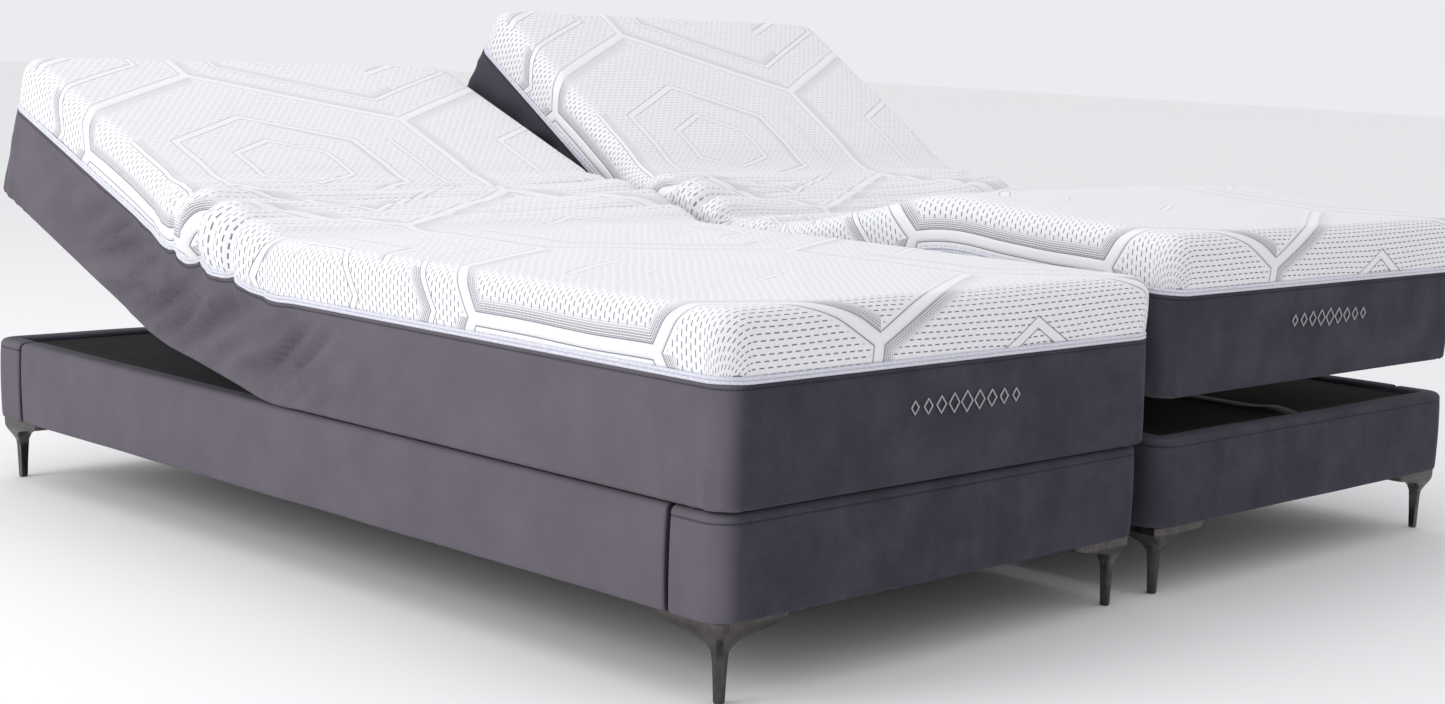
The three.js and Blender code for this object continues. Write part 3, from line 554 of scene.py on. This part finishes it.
def rounded_block(half, reach, low, high, corner, top_edge, bottom_edge):
    """A box with round upright corners and round upper and lower edges."""
    bm = bmesh.new()
    bmesh.ops.create_cube(bm, size=1.0)
    bmesh.ops.scale(bm, verts=bm.verts, vec=(2 * half, 2 * reach, high - low))
    bmesh.ops.translate(bm, verts=bm.verts, vec=(0, 0, (low + high) / 2))

    def rounded(edges, radius, segments):
        bmesh.ops.bevel(
            bm, geom=edges, offset=radius, segments=segments, affect="EDGES", profile=0.5,
            material=-1,
        )

    upright = [e for e in bm.edges if abs(e.verts[0].co.z - e.verts[1].co.z) > 0.01]
    rounded(upright, corner, 8)
    for height, radius in ((high, top_edge), (low, bottom_edge)):
        rim = [e for e in bm.edges if all(abs(v.co.z - height) < 1e-5 for v in e.verts)]
        rounded(rim, radius, 6)
    return bm


def cut_across(bm, axis, places):
    """Cuts the mesh by planes at right angles to an axis, so that it can bend there."""
    normal = Vector((0, 0, 0))
    normal[axis] = 1
    for place in places:
        geometry = bm.verts[:] + bm.edges[:] + bm.faces[:]
        bmesh.ops.bisect_plane(
            bm, geom=geometry, dist=1e-5, plane_co=normal * place, plane_no=normal
        )


def evenly(low, high, step):
    count = max(1, round((high - low) / step))
    return [low + (high - low) * i / count for i in range(1, count)]


def outward(point, half, reach, corner):
    """The level direction from the mattress to the edge that a point is near, or zero."""
    away = Vector((0, 0, 0))
    for axis, limit in ((0, half - corner), (1, reach - corner)):
        past = abs(point[axis]) - limit
        if past > 0:
            away[axis] = math.copysign(past, point[axis])
    return away.normalized() if away.length > 1e-6 else away


def round_the_bed(point):
    """Metres along the bed's outline, as seen from above."""
    return point.x - math.copysign(abs(point.y), point.x)


def refinish(node, material):
    node.data.materials.clear()
    node.data.materials.append(material)


def write_cloth_map(bm, place_of):
    """Gives the mesh a UV map in metres of cloth."""
    layer = bm.loops.layers.uv.new("Cloth")
    for face in bm.faces:
        for loop in face.loops:
            loop[layer].uv = place_of(loop.vert.co)


def map_velvet(bm, inner):
    """Gives velvet its cloth map, and a share of painted light: most on the side away from the other bed,
    less on the top and on the side facing it, none on the ends, which stay in painted shade.
    """
    write_cloth_map(bm, lambda point: (round_the_bed(point), point.z))
    bm.normal_update()
    layer = bm.verts.layers.float.new("painted_light")
    for vert in bm.verts:
        facing = abs(vert.normal.x) * (0.3 if vert.normal.x * inner > 0 else 1)
        vert[layer] = eased(facing + 0.35 * abs(vert.normal.z), 0.08, 0.8)


def put_in_scene(name, data):
    made = bpy.data.objects.new(name, data)
    bpy.context.scene.collection.objects.link(made)
    return made


def new_piece(name, bm, material):
    """Makes a piece of the bmesh, which is freed."""
    mesh = bpy.data.meshes.new(name)
    bm.to_mesh(mesh)
    bm.free()
    mesh.shade_smooth()
    mesh.materials.append(material)
    piece = put_in_scene(name, mesh)
    return piece


def bend_and_cut(bm, spine, name, middle_z, material, replaced):
    """Bends a flat mesh over the hinges and cuts it into one piece for each joint."""
    along = bm.verts.layers.float.get("along") or bm.verts.layers.float.new("along")
    for vert in bm.verts:
        vert.co = spine.bent(vert.co, vert[along])
    bm.normal_update()
    kept_normal = bm.verts.layers.float_vector.new("kept_normal")
    for vert in bm.verts:
        vert[kept_normal] = vert.normal
    for stretch, lower, upper, hinge, start, end in STRETCHES:
        part = bm.copy()
        layer = part.verts.layers.float["along"]
        outside = [
            face for face in part.faces
            if not start < sum(vert[layer] for vert in face.verts) / len(face.verts) < end
        ]
        bmesh.ops.delete(part, geom=outside, context="FACES")
        piece = new_piece(f"{spine.side}_{name}_{stretch}", part, material)
        normals = [tuple(item.vector) for item in piece.data.attributes["kept_normal"].data]
        piece.data.normals_split_custom_set_from_vertices(normals)
        if replaced:
            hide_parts(*(f"{spine.side}_{node}" for node in replaced[stretch]))
        bodies = [body if body == "root" else f"{spine.side}_{body}" for body in (lower, upper)]
        turn_from, turn_to = (
            spine.bent(Vector((0, place, middle_z))) for place in HINGES[hinge][1]
        )
        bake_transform(piece, *bodies, start=turn_from, end=turn_to)
    bm.free()


def mark_along(bm):
    """Keeps each vertex's place along the flat mattress, before it is pushed about."""
    layer = bm.verts.layers.float.new("along")
    for vert in bm.verts:
        vert[layer] = vert.co.y


def fabric_block(settings, low, high, corner, top_edge, bottom_edge, across=None):
    """A flat mattress-sized block of fabric, cut finely enough to be gathered and bent."""
    half, reach = settings.half_width, settings.reach
    step = FULL_STEP
    bm = rounded_block(half, reach, low, high, corner, top_edge, bottom_edge)
    cut_across(bm, 1, sorted([*evenly(-reach, reach, step), *CUTS]))
    cut_across(bm, 0, evenly(-half, half, across or step * 1.3))
    cut_across(bm, 2, evenly(low, high, 0.012))
    mark_along(bm)
    return bm


def nodes_replaced(layer):
    """The nodes of one unit that each of its pieces of knit or casing stands for."""
    return {
        "foot": [f"calf_{layer}"],
        "lap": [f"thigh_{layer}", "seat_cushion"],
        "waist": [f"lumbar_{layer}"],
        "head": [f"back_{layer}"],
    }


def tucks(point, seed, pitch):
    """Pillows of gathered cloth across the bed, 0 to 1, with sharp creases between them."""
    wander = 0.022 * noise.noise(Vector((point.x * 2.1, seed, 0)))
    wander += 0.009 * noise.noise(Vector((point.x * 7.0, point.y * 3, seed)))
    round_top = abs(math.sin(math.pi * (point.y + wander) / pitch)) ** 0.52
    return round_top * (0.68 + 0.5 * noise.noise(Vector((point.x * 3.1, point.y * 6, seed + 4))))


def shape_knit(bm, settings, spine):
    """Crowns the knitted top, and gathers it where the mattress folds."""
    half, reach = settings.half_width, settings.reach
    low, high = settings.knit_bottom, settings.knit_top
    for vert in bm.verts:
        flat = vert.co.copy()
        away = outward(flat, half, reach, settings.knit_corner)
        rise = eased(flat.z, low, high)
        crown = (1 - (flat.x / half) ** 4) * (1 - (abs(flat.y) / reach) ** 14)
        gather = spine.fold(flat.y)
        big, small = spine.tuck(flat)
        out, drop = spine.scallop(flat)
        border = (flat.x / half) ** 2
        wander = noise.noise(flat * 3.3) * 0.002
        lift = crown * 0.004 + wander
        lift += gather * ((0.011 + 0.025 * border) * big + 0.011 * small - 0.008)
        vert.co.z += rise * lift - (1 - rise) * drop
        side = 1 - eased(flat.z, high - 0.02, high)
        limit = INNER_PUSH if away.x * spine.middle < 0 else OUTER_PUSH
        pillow = math.sin(math.pi * min(max((flat.z - low) / (high - low), 0), 1))
        pushed = pillow * (0.003 + gather * (0.02 * big + 0.01 * small))
        pushed += out - gather * rise * 0.006
        pushed += noise.noise(Vector((flat.x * 7, flat.y * 7, flat.z * 9))) * 0.0018
        vert.co += away * (side * min(pushed, limit))


def shape_casing(bm, settings, spine):
    """Gives the velvet border its slack: drag lines from the fold, and puckers at its corners."""
    half, reach = settings.half_width, settings.reach
    low, high = settings.casing_bottom, settings.casing_top
    painted_light = bm.verts.layers.float["painted_light"]
    for vert in bm.verts:
        flat = vert.co.copy()
        away = outward(flat, half, reach, settings.casing_corner)
        if away.length == 0:
            continue
        height = (flat.z - low) / (high - low)
        body = math.sin(math.pi * min(max(height, 0), 1))
        slack = 0.0
        for hinge, width in (("hip", 0.2), ("lumbar", 0.26), ("back", 0.3)):
            near = hill(flat.y, HINGES[hinge][0] + 0.06, width)
            slack = max(slack, abs(spine.angles[hinge]) / 11 * near)
        drag = flat.y * 13 + (height - 1) * 2.8
        crease = 0.5 - min(abs(noise.noise(Vector((drag, height * 0.8, spine.middle * 3)))) * 3, 1)
        fine = noise.noise(Vector((drag * 2.3, height * 1.3, 5.0)))
        # The creases also raise and lower the share of painted light, as painted highlights and shade along
        # the drag lines.
        vert[painted_light] = min(max(vert[painted_light] + body * slack * (0.34 * crease + 0.3 * fine), 0.0), 1.0)
        pushed = body * (0.001 + slack * (0.03 * crease + 0.016 * fine))
        out, drop = spine.scallop(flat)
        vert.co.z -= eased(height, 0.6, 1.0) * drop
        pushed += eased(height, 0.45, 1.0) * out
        pushed += noise.noise(flat * 5.0) * 0.0018 * body
        corner = min(abs(abs(flat.x) - half), 1) + min(abs(abs(flat.y) - reach), 1)
        pucker = hill(corner, 0.0, 0.09) * hill(height, 0.0, 0.3)
        pushed += pucker * 0.003 * math.sin(flat.x * 260 + flat.y * 210)
        if abs(away.y) > abs(away.x):
            pushed += body * 0.006 * (1 - (flat.x / half) ** 2)
        if away.x * spine.middle < 0:
            pushed = min(pushed, INNER_PUSH)
        vert.co += away * pushed


def outline_path(half, reach, corner, height, step):
    """Points round a rectangle with round corners, starting on the left side."""
    points = []
    for sx, sy, first in ((-1, -1, 180), (1, -1, 270), (1, 1, 0), (-1, 1, 90)):
        centre = Vector((sx * (half - corner), sy * (reach - corner), height))
        for i in range(9):
            angle = math.radians(first + i * 90 / 8)
            points.append(centre + Vector((math.cos(angle), math.sin(angle), 0)) * corner)
    full = []
    for here, there in zip(points, points[1:] + points[:1]):
        count = max(1, round((there - here).length / step))
        full += [here.lerp(there, i / count) for i in range(count)]
    return full


def cord_mesh(bm, points, radius):
    """Adds a closed loop of round cord through the points."""
    curve = bpy.data.curves.new("cord", "CURVE")
    curve.dimensions = "3D"
    curve.bevel_depth = radius
    curve.bevel_resolution = 2
    spline = curve.splines.new("POLY")
    spline.points.add(len(points) - 1)
    for place, point in zip(spline.points, points):
        place.co = (*point, 1)
    spline.use_cyclic_u = True
    holder = put_in_scene("cord", curve)
    bpy.context.view_layer.update()
    mesh = bpy.data.meshes.new_from_object(holder)
    bm.from_mesh(mesh)
    bpy.data.objects.remove(holder)
    bpy.data.curves.remove(curve)
    bpy.data.meshes.remove(mesh)


def extrude_edges(bm, edges):
    """Extrudes a string of edges, and returns its new vertices and its new far edges."""
    made = bmesh.ops.extrude_edge_only(bm, edges=edges)["geom"]
    fresh = [item for item in made if isinstance(item, bmesh.types.BMVert)]
    far = [
        item for item in made
        if isinstance(item, bmesh.types.BMEdge) and all(vert in fresh for vert in item.verts)
    ]
    return fresh, far


def sweep(bm, profile, start, moves):
    """Sweeps a closed profile of (inwards, up) points along straight runs and quarter turns."""
    ring = []
    for inwards, up in profile:
        ring.append(bm.verts.new((start.x + inwards, start.y, up)))
    edges = [bm.edges.new((a, b)) for a, b in zip(ring, ring[1:] + ring[:1])]
    caps = [edges[:]]
    for move in moves:
        if move[0] == "run":
            count = max(1, round(move[1].length / 0.03))
            for _ in range(count):
                fresh, edges = extrude_edges(bm, edges)
                bmesh.ops.translate(bm, verts=fresh, vec=move[1] / count)
        else:
            made = bmesh.ops.spin(
                bm, geom=edges, cent=move[1], axis=(0, 0, 1), angle=math.radians(90), steps=9
            )["geom_last"]
            edges = [item for item in made if isinstance(item, bmesh.types.BMEdge)]
    caps.append(edges)
    return caps


def close_ends(bm, caps, radius):
    """Closes the two ends of a swept shape and rounds them."""
    for cap in caps:
        bmesh.ops.edgeloop_fill(bm, edges=cap)
    bmesh.ops.recalc_face_normals(bm, faces=bm.faces)
    rim = [edge for cap in caps for edge in cap]
    bmesh.ops.bevel(
        bm, geom=rim, offset=radius, segments=4, affect="EDGES", profile=0.5, material=-1,
        clamp_overlap=True,
    )


def panel_profile(settings):
    """A padded board seen from its end: (inwards from the outer face, height)."""
    low, high, thick = settings.bottom, settings.top, settings.thickness
    seam = high - PANEL_SEAM
    profile = [(0.005, low), (0.0012, low + 0.0015), (0.0, low + 0.006)]
    for share in (0.2, 0.4, 0.6, 0.8):
        height = low + 0.006 + share * (seam - low - 0.01)
        profile.append((-0.0014 * math.sin(math.pi * share), height))
    profile += [(0.0002, seam - 0.003), (0.0011, seam), (0.0006, seam + 0.002)]
    for i in range(1, 6):
        angle = math.radians(90 * i / 5)
        across, up = 0.0112 * math.cos(angle), 0.0117 * math.sin(angle)
        profile.append((0.0115 - across, high - 0.0112 + up))
    profile += [(0.022, high + 0.0012), (0.03, high + 0.0006)]
    for i in range(0, 4):
        angle = math.radians(90 - 90 * i / 3)
        across, up = 0.01 * math.cos(angle), 0.0105 * math.sin(angle)
        profile.append((thick - 0.01 + across, high - 0.0105 + up))
    profile += [(thick, low + 0.07), (thick, low + 0.004), (thick - 0.004, low)]
    return profile


# ---------------------------------------------------------------- operators


class BED_OT_knit_tops(bpy.types.Operator):
    """Makes both mattresses' knitted tops, gathered at the folds"""

    bl_idname = "bed.knit_tops"
    bl_label = "Knitted tops"

    def execute(self, context):
        settings = context.scene.bed_mattress
        material = knit_material(settings)
        for side in UNITS:
            spine = Spine(side)
            bm = fabric_block(
                settings, settings.knit_bottom, settings.knit_top,
                settings.knit_corner, settings.knit_edge, 0.006,
            )

            def cloth_place(point):
                away = outward(
                    point, settings.half_width, settings.reach, settings.knit_corner
                )
                return (point + away * (settings.knit_top - point.z)).xy

            write_cloth_map(bm, cloth_place)
            shape_knit(bm, settings, spine)
            bend_and_cut(bm, spine, "knit", 0.48, material, nodes_replaced("pad"))
        return {"FINISHED"}


class BED_OT_casings(bpy.types.Operator):
    """Makes both mattresses' velvet casings"""

    bl_idname = "bed.casings"
    bl_label = "Velvet casings"

    def execute(self, context):
        settings = context.scene.bed_mattress
        seam = settings.casing_top - CASING_SEAM
        material = velvet_material("Casing velvet", settings, seam)
        for side in UNITS:
            spine = Spine(side)
            bm = fabric_block(
                settings, settings.casing_bottom, settings.casing_top,
                settings.casing_corner, 0.004, 0.007, across=0.05,
            )
            # Painted light and shade on the velvet, by how each face is turned.
            map_velvet(bm, -spine.middle)
            shape_casing(bm, settings, spine)
            replaced = nodes_replaced("casing")
            bend_and_cut(bm, spine, "casing", 0.35, material, replaced)
        return {"FINISHED"}


class BED_OT_piping(bpy.types.Operator):
    """Makes the pair of piping cords between each casing and its knitted top"""

    bl_idname = "bed.piping"
    bl_label = "Piping"

    def execute(self, context):
        settings = context.scene.bed_mattress
        material = cord_material(settings)
        middle = (settings.casing_top + settings.knit_bottom) / 2
        for side in UNITS:
            spine = Spine(side)
            for name, offset in (("lower", -0.0026), ("upper", 0.0026)):
                points = outline_path(
                    settings.half_width + 0.0005, settings.reach + 0.0005,
                    settings.casing_corner + 0.008, middle + offset, 0.012,
                )
                for point in points:
                    out, drop = spine.scallop(point)
                    point += outward(point, settings.half_width, settings.reach, 0.04) * out
                    point.z -= drop
                bm = bmesh.new()
                cord_mesh(bm, points, settings.cord)
                cut_across(bm, 1, CUTS)
                mark_along(bm)
                bend_and_cut(bm, spine, f"piping_{name}", 0.437, material, None)
        return {"FINISHED"}


class BED_OT_motifs(bpy.types.Operator):
    """Embroiders a plain chain of lozenges on each casing's foot end"""

    bl_idname = "bed.motifs"
    bl_label = "Embroidery"

    def execute(self, context):
        settings = context.scene.bed_mattress
        material = thread_material()
        for side in UNITS:
            spine = Spine(side)
            bm = bmesh.new()
            for i in range(-4, 5):
                size = 0.0075 + 0.0045 * (1 - abs(i) / 4)
                x = i * 0.027
                bow = 0.0025 + 0.006 * (1 - (x / settings.half_width) ** 2)
                corners = [Vector((size, 0, 0)), Vector((0, 0, size * 1.25)),
                           Vector((-size, 0, 0)), Vector((0, 0, -size * 1.25))]
                centre = Vector((x, -settings.reach - bow - 0.0004, 0.375))
                cord_mesh(bm, [centre + corner for corner in corners], 0.0013)
            for vert in bm.verts:
                vert.co = spine.bent(vert.co)
            piece = new_piece(f"{side}_embroidery", bm, material)
            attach(piece, f"{side}_calf")
        return {"FINISHED"}


class BED_OT_bases(bpy.types.Operator):
    """Makes the padded end panels and side rails of both bases"""

    bl_idname = "bed.bases"
    bl_label = "Upholstered bases"

    def execute(self, context):
        settings = context.scene.bed_base
        mattress = context.scene.bed_mattress
        seam = settings.top - PANEL_SEAM
        stitched = velvet_material("Panel velvet", mattress, seam)
        plain = velvet_material("Rail velvet", mattress)
        half, reach, corner = settings.half_width, settings.reach, settings.corner
        profile = panel_profile(settings)
        for side, middle_x in UNITS.items():
            for end, turn in (("foot", 0), ("head", 180)):
                bm = bmesh.new()
                caps = sweep(bm, profile, Vector((-half, -reach + settings.wrap, 0)), (
                    ("run", Vector((0, corner - settings.wrap, 0))),
                    ("turn", Vector((-half + corner, -reach + corner, 0))),
                    ("run", Vector((2 * (half - corner), 0, 0))),
                    ("turn", Vector((half - corner, -reach + corner, 0))),
                    ("run", Vector((0, settings.wrap - corner, 0))),
                ))
                self.finish(bm, caps, f"{side}_{end}_padding", f"{side}_{end}_panel", stitched,
                            middle_x, turn)
            for rail, turn in (("l", 0), ("r", 180)):
                bm = bmesh.new()
                run = reach - settings.wrap - settings.gap
                moves = (("run", Vector((0, -2 * run, 0))),)
                caps = sweep(bm, profile, Vector((-half, run, 0)), moves)
                self.finish(bm, caps, f"{side}_rail_{rail}_padding", f"{side}_rail_{rail}", plain,
                            middle_x, turn)
        return {"FINISHED"}

    def finish(self, bm, caps, name, node, material, middle_x, turn):
        """Closes a padded board, turns it to its place, and stands it in for its node."""
        close_ends(bm, caps, 0.013)
        # Painted light and shade on the board's velvet, as on the casings.
        map_velvet(bm, -middle_x * math.cos(math.radians(turn)))
        for vert in bm.verts:
            push = noise.noise(Vector((vert.co.x * 6, vert.co.y * 6, vert.co.z * 8))) * 0.0012
            vert.co += vert.normal * push
        turned = Matrix.Rotation(math.radians(turn), 4, "Z")
        turned = Matrix.Translation((middle_x, BASE_MIDDLE_Y, 0)) @ turned
        bmesh.ops.transform(bm, matrix=turned, verts=bm.verts)
        piece = new_piece(name, bm, material)
        smooth = piece.modifiers.new("Padding", "SUBSURF")
        smooth.levels = smooth.render_levels = 1
        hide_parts(node)
        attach(piece, "root")


class BED_OT_legs(bpy.types.Operator):
    """Casts the corner legs: a tapered post that sweeps into two bracket arms"""

    bl_idname = "bed.legs"
    bl_label = "Legs"

    # From the base's corner to the middle of the post.
    POST = 0.036
    # Height, half width of the post, and how far the arms reach from the base's corner.
    SECTIONS = (
        (0.0, 0.0056, 0.0), (0.003, 0.0066, 0.0), (0.03, 0.0074, 0.0), (0.06, 0.0086, 0.0),
        (0.072, 0.0094, 0.0), (0.082, 0.0102, 0.05), (0.0885, 0.0108, 0.06),
        (0.0935, 0.0112, 0.078), (0.0972, 0.0116, 0.1), (0.1, 0.012, 0.122),
        (0.1027, 0.0122, 0.136), (0.106, 0.0124, 0.142), (0.1146, 0.0126, 0.143),
    )

    def execute(self, context):
        settings = context.scene.bed_base
        material = leg_material(settings)
        for side, middle_x in UNITS.items():
            for corner, (sx, sy) in CORNERS.items():
                bm = self.cast()
                x = middle_x + sx * settings.half_width
                y = BASE_MIDDLE_Y + sy * settings.reach
                place = Matrix.Translation((x, y, 0)) @ Matrix.Diagonal((-sx, -sy, 1, 1))
                bmesh.ops.transform(bm, matrix=place, verts=bm.verts)
                bmesh.ops.recalc_face_normals(bm, faces=bm.faces)
                piece = new_piece(f"{side}_cast_leg_{corner}", bm, material)
                soft = piece.modifiers.new("Edges", "BEVEL")
                soft.width, soft.segments, soft.limit_method = 0.0018, 2, "ANGLE"
                soft.angle_limit = math.radians(24)
                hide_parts(f"{side}_leg_{corner}")
                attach(piece, "root")
        return {"FINISHED"}

    def cast(self):
        """A leg for the corner at the origin, its arms along +x and +y."""
        bm = bmesh.new()
        bmesh.ops.create_circle(bm, cap_ends=True, segments=10, radius=0.01)
        face = bm.faces[:][0]
        for index, section in enumerate(self.SECTIONS):
            if index:
                made = bmesh.ops.extrude_face_region(
                    bm, geom=[face], use_keep_orig=index == 1
                )["geom"]
                face = next(item for item in made if isinstance(item, bmesh.types.BMFace))
            for vert, place in zip(face.verts, self.outline(*section)):
                vert.co = place
        bmesh.ops.recalc_face_normals(bm, faces=bm.faces)
        return bm

    def outline(self, height, half, arm):
        """An L with a chamfered outer corner; the arms shrink to nothing at the foot."""
        low = self.POST - half - eased(height, 0.068, 0.1) * 0.012
        high = self.POST + half
        tip = max(arm, high)
        inner = min(high + 0.004, tip)
        nose = 0.007 if arm > 0.1 else 0.0022
        chamfer = 0.45 * half + 0.002
        arm_side = [
            (low + chamfer, low), (tip - nose, low), (tip, low + nose), (tip, high - nose),
            (inner, high - 0.0005),
        ]
        other_side = [(y, x) for x, y in reversed(arm_side)]
        return [Vector((x, y, height)) for x, y in arm_side + other_side]


class BED_OT_decks(bpy.types.Operator):
    """Covers the decks, and lays a retaining strap at the foot of each"""

    bl_idname = "bed.decks"
    bl_label = "Decks and straps"

    # The strap's end near the foot panel, and the number of 6 mm parts that make its length.
    STRAP_START = -0.938
    STRAP_PARTS = 51

    def execute(self, context):
        settings = context.scene.bed_base
        cloth = deck_material(settings)
        webbing = webbing_material()
        for side, middle in UNITS.items():
            refinish(frame["nodes"][f"{side}_deck"], cloth)
            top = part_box(f"{side}_deck")[1][2]
            bm = bmesh.new()
            half = settings.strap_width / 2
            rail = [bm.verts.new((x, self.STRAP_START, 0)) for x in (-half, half)]
            edges = [bm.edges.new(rail)]
            for i in range(1, self.STRAP_PARTS + 1):
                fresh, edges = extrude_edges(bm, edges)
                for vert in fresh:
                    vert.co.y = self.STRAP_START + 0.006 * i
            write_cloth_map(bm, lambda point: point.xy)
            for vert in bm.verts:
                y = vert.co.y
                vert.co.z = top + 0.0004 + 0.006 * hill(y, -0.895, 0.035)
                vert.co.x += middle + 0.012 * math.sin((y - self.STRAP_START) * 9)
            bmesh.ops.recalc_face_normals(bm, faces=bm.faces)
            piece = new_piece(f"{side}_strap", bm, webbing)
            thick = piece.modifiers.new("Webbing", "SOLIDIFY")
            thick.thickness, thick.offset = 0.0016, 1
            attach(piece, "root")
        return {"FINISHED"}


class BED_OT_mechanism(bpy.types.Operator):
    """Finishes the steel sections, links, actuators, control box and joining plate"""

    bl_idname = "bed.mechanism"
    bl_label = "Mechanism"

    def execute(self, context):
        steel = enamel_material("Powder-coated steel", (0.022, 0.022, 0.024), 0.45, 0.3)
        plastic = enamel_material("Moulded housing", (0.03, 0.031, 0.034), 0.55)
        rod = rod_material()
        for name, node in frame["nodes"].items():
            if name.endswith(("_frame", "_link", "joining_plate")):
                refinish(node, steel)
            elif name.endswith("_rod"):
                refinish(node, rod)
            elif "actuator" in name or name == "control_box":
                refinish(node, plastic)
        return {"FINISHED"}


class BED_OT_stage(bpy.types.Operator):
    """Sets the floor, the lights and the camera"""

    bl_idname = "bed.stage"
    bl_label = "Stage"

    def execute(self, context):
        settings = context.scene.bed_stage
        bm = bmesh.new()
        bmesh.ops.create_grid(bm, x_segments=2, y_segments=2, size=settings.floor_size / 2)
        mesh = bpy.data.meshes.new("floor")
        bm.to_mesh(mesh)
        bm.free()
        mesh.materials.append(Shader("Pale floor", tuple(settings.floor), 0.9).material)
        put_in_scene("floor", mesh)

        world = bpy.data.worlds.new("Studio")
        world.use_nodes = True
        world.node_tree.nodes["Background"].inputs[0].default_value = (0.97, 0.975, 1.0, 1)
        world.node_tree.nodes["Background"].inputs[1].default_value = 0.86
        context.scene.view_settings.view_transform = "Standard"
        context.scene.world = world
        self.light("Top softbox", (-0.8, 0.6, 4.4), (0, 0, 0.4), 4.5, 24)
        self.light("Left softbox", (-5.0, 1.2, 2.4), (0, 0.2, 0.3), 3.2, 100)
        self.camera(context)
        return {"FINISHED"}

    def light(self, name, place, target, size, power):
        data = bpy.data.lights.new(name, "AREA")
        data.shape = "DISK"
        data.size = size
        data.energy = power
        lamp = put_in_scene(name, data)
        lamp.location = place
        lamp.rotation_euler = (Vector(target) - Vector(place)).to_track_quat("-Z", "Y").to_euler()

    def camera(self, context):
        yaw, pitch, roll = (math.radians(a) for a in (-49.0609, 8.5028, 2.4373))
        level_part = math.cos(pitch)
        back = Vector((math.sin(yaw) * level_part, -math.cos(yaw) * level_part, math.sin(pitch)))
        level = (-back).cross(Vector((0, 0, 1))).normalized()
        upright = level.cross(-back)
        right = level * math.cos(roll) + upright * math.sin(roll)
        up = upright * math.cos(roll) - level * math.sin(roll)
        data = bpy.data.cameras.new("Camera")
        data.sensor_width = 36
        data.lens = 56.48
        data.shift_x, data.shift_y = -0.1773, 0.0207
        camera = put_in_scene("Camera", data)
        camera.matrix_world = Matrix.Translation((-2.8673, -3.1051, 0.8784)) @ Matrix(
            (right, up, back)
        ).transposed().to_4x4()
        context.scene.camera = camera


class BED_PT_sidebar(bpy.types.Panel):
    bl_idname = "BED_PT_sidebar"
    bl_label = "Adjustable bed"
    bl_space_type = "VIEW_3D"
    bl_region_type = "UI"
    bl_category = "Bed"

    def draw(self, context):
        layout = self.layout
        scene = context.scene
        for settings in (scene.bed_mattress, scene.bed_base, scene.bed_stage):
            column = layout.column()
            for name in settings.__annotations__:
                column.prop(settings, name)
        for operator in STEPS:
            layout.operator(operator.bl_idname)


STEPS = (
    BED_OT_stage,
    BED_OT_knit_tops,
    BED_OT_casings,
    BED_OT_piping,
    BED_OT_motifs,
    BED_OT_bases,
    BED_OT_legs,
    BED_OT_decks,
    BED_OT_mechanism,
)
CLASSES = (BedMattressSettings, BedBaseSettings, BedStageSettings, *STEPS, BED_PT_sidebar)


def register():
    for cls in CLASSES:
        bpy.utils.register_class(cls)
    bpy.types.Scene.bed_mattress = bpy.props.PointerProperty(type=BedMattressSettings)
    bpy.types.Scene.bed_base = bpy.props.PointerProperty(type=BedBaseSettings)
    bpy.types.Scene.bed_stage = bpy.props.PointerProperty(type=BedStageSettings)


def unregister():
    del bpy.types.Scene.bed_stage
    del bpy.types.Scene.bed_base
    del bpy.types.Scene.bed_mattress
    for cls in reversed(CLASSES):
        bpy.utils.unregister_class(cls)


def main():
    register()
    for step in STEPS:
        getattr(bpy.ops.bed, step.bl_idname.split(".")[1])()


if __name__ == "__main__":
    main()
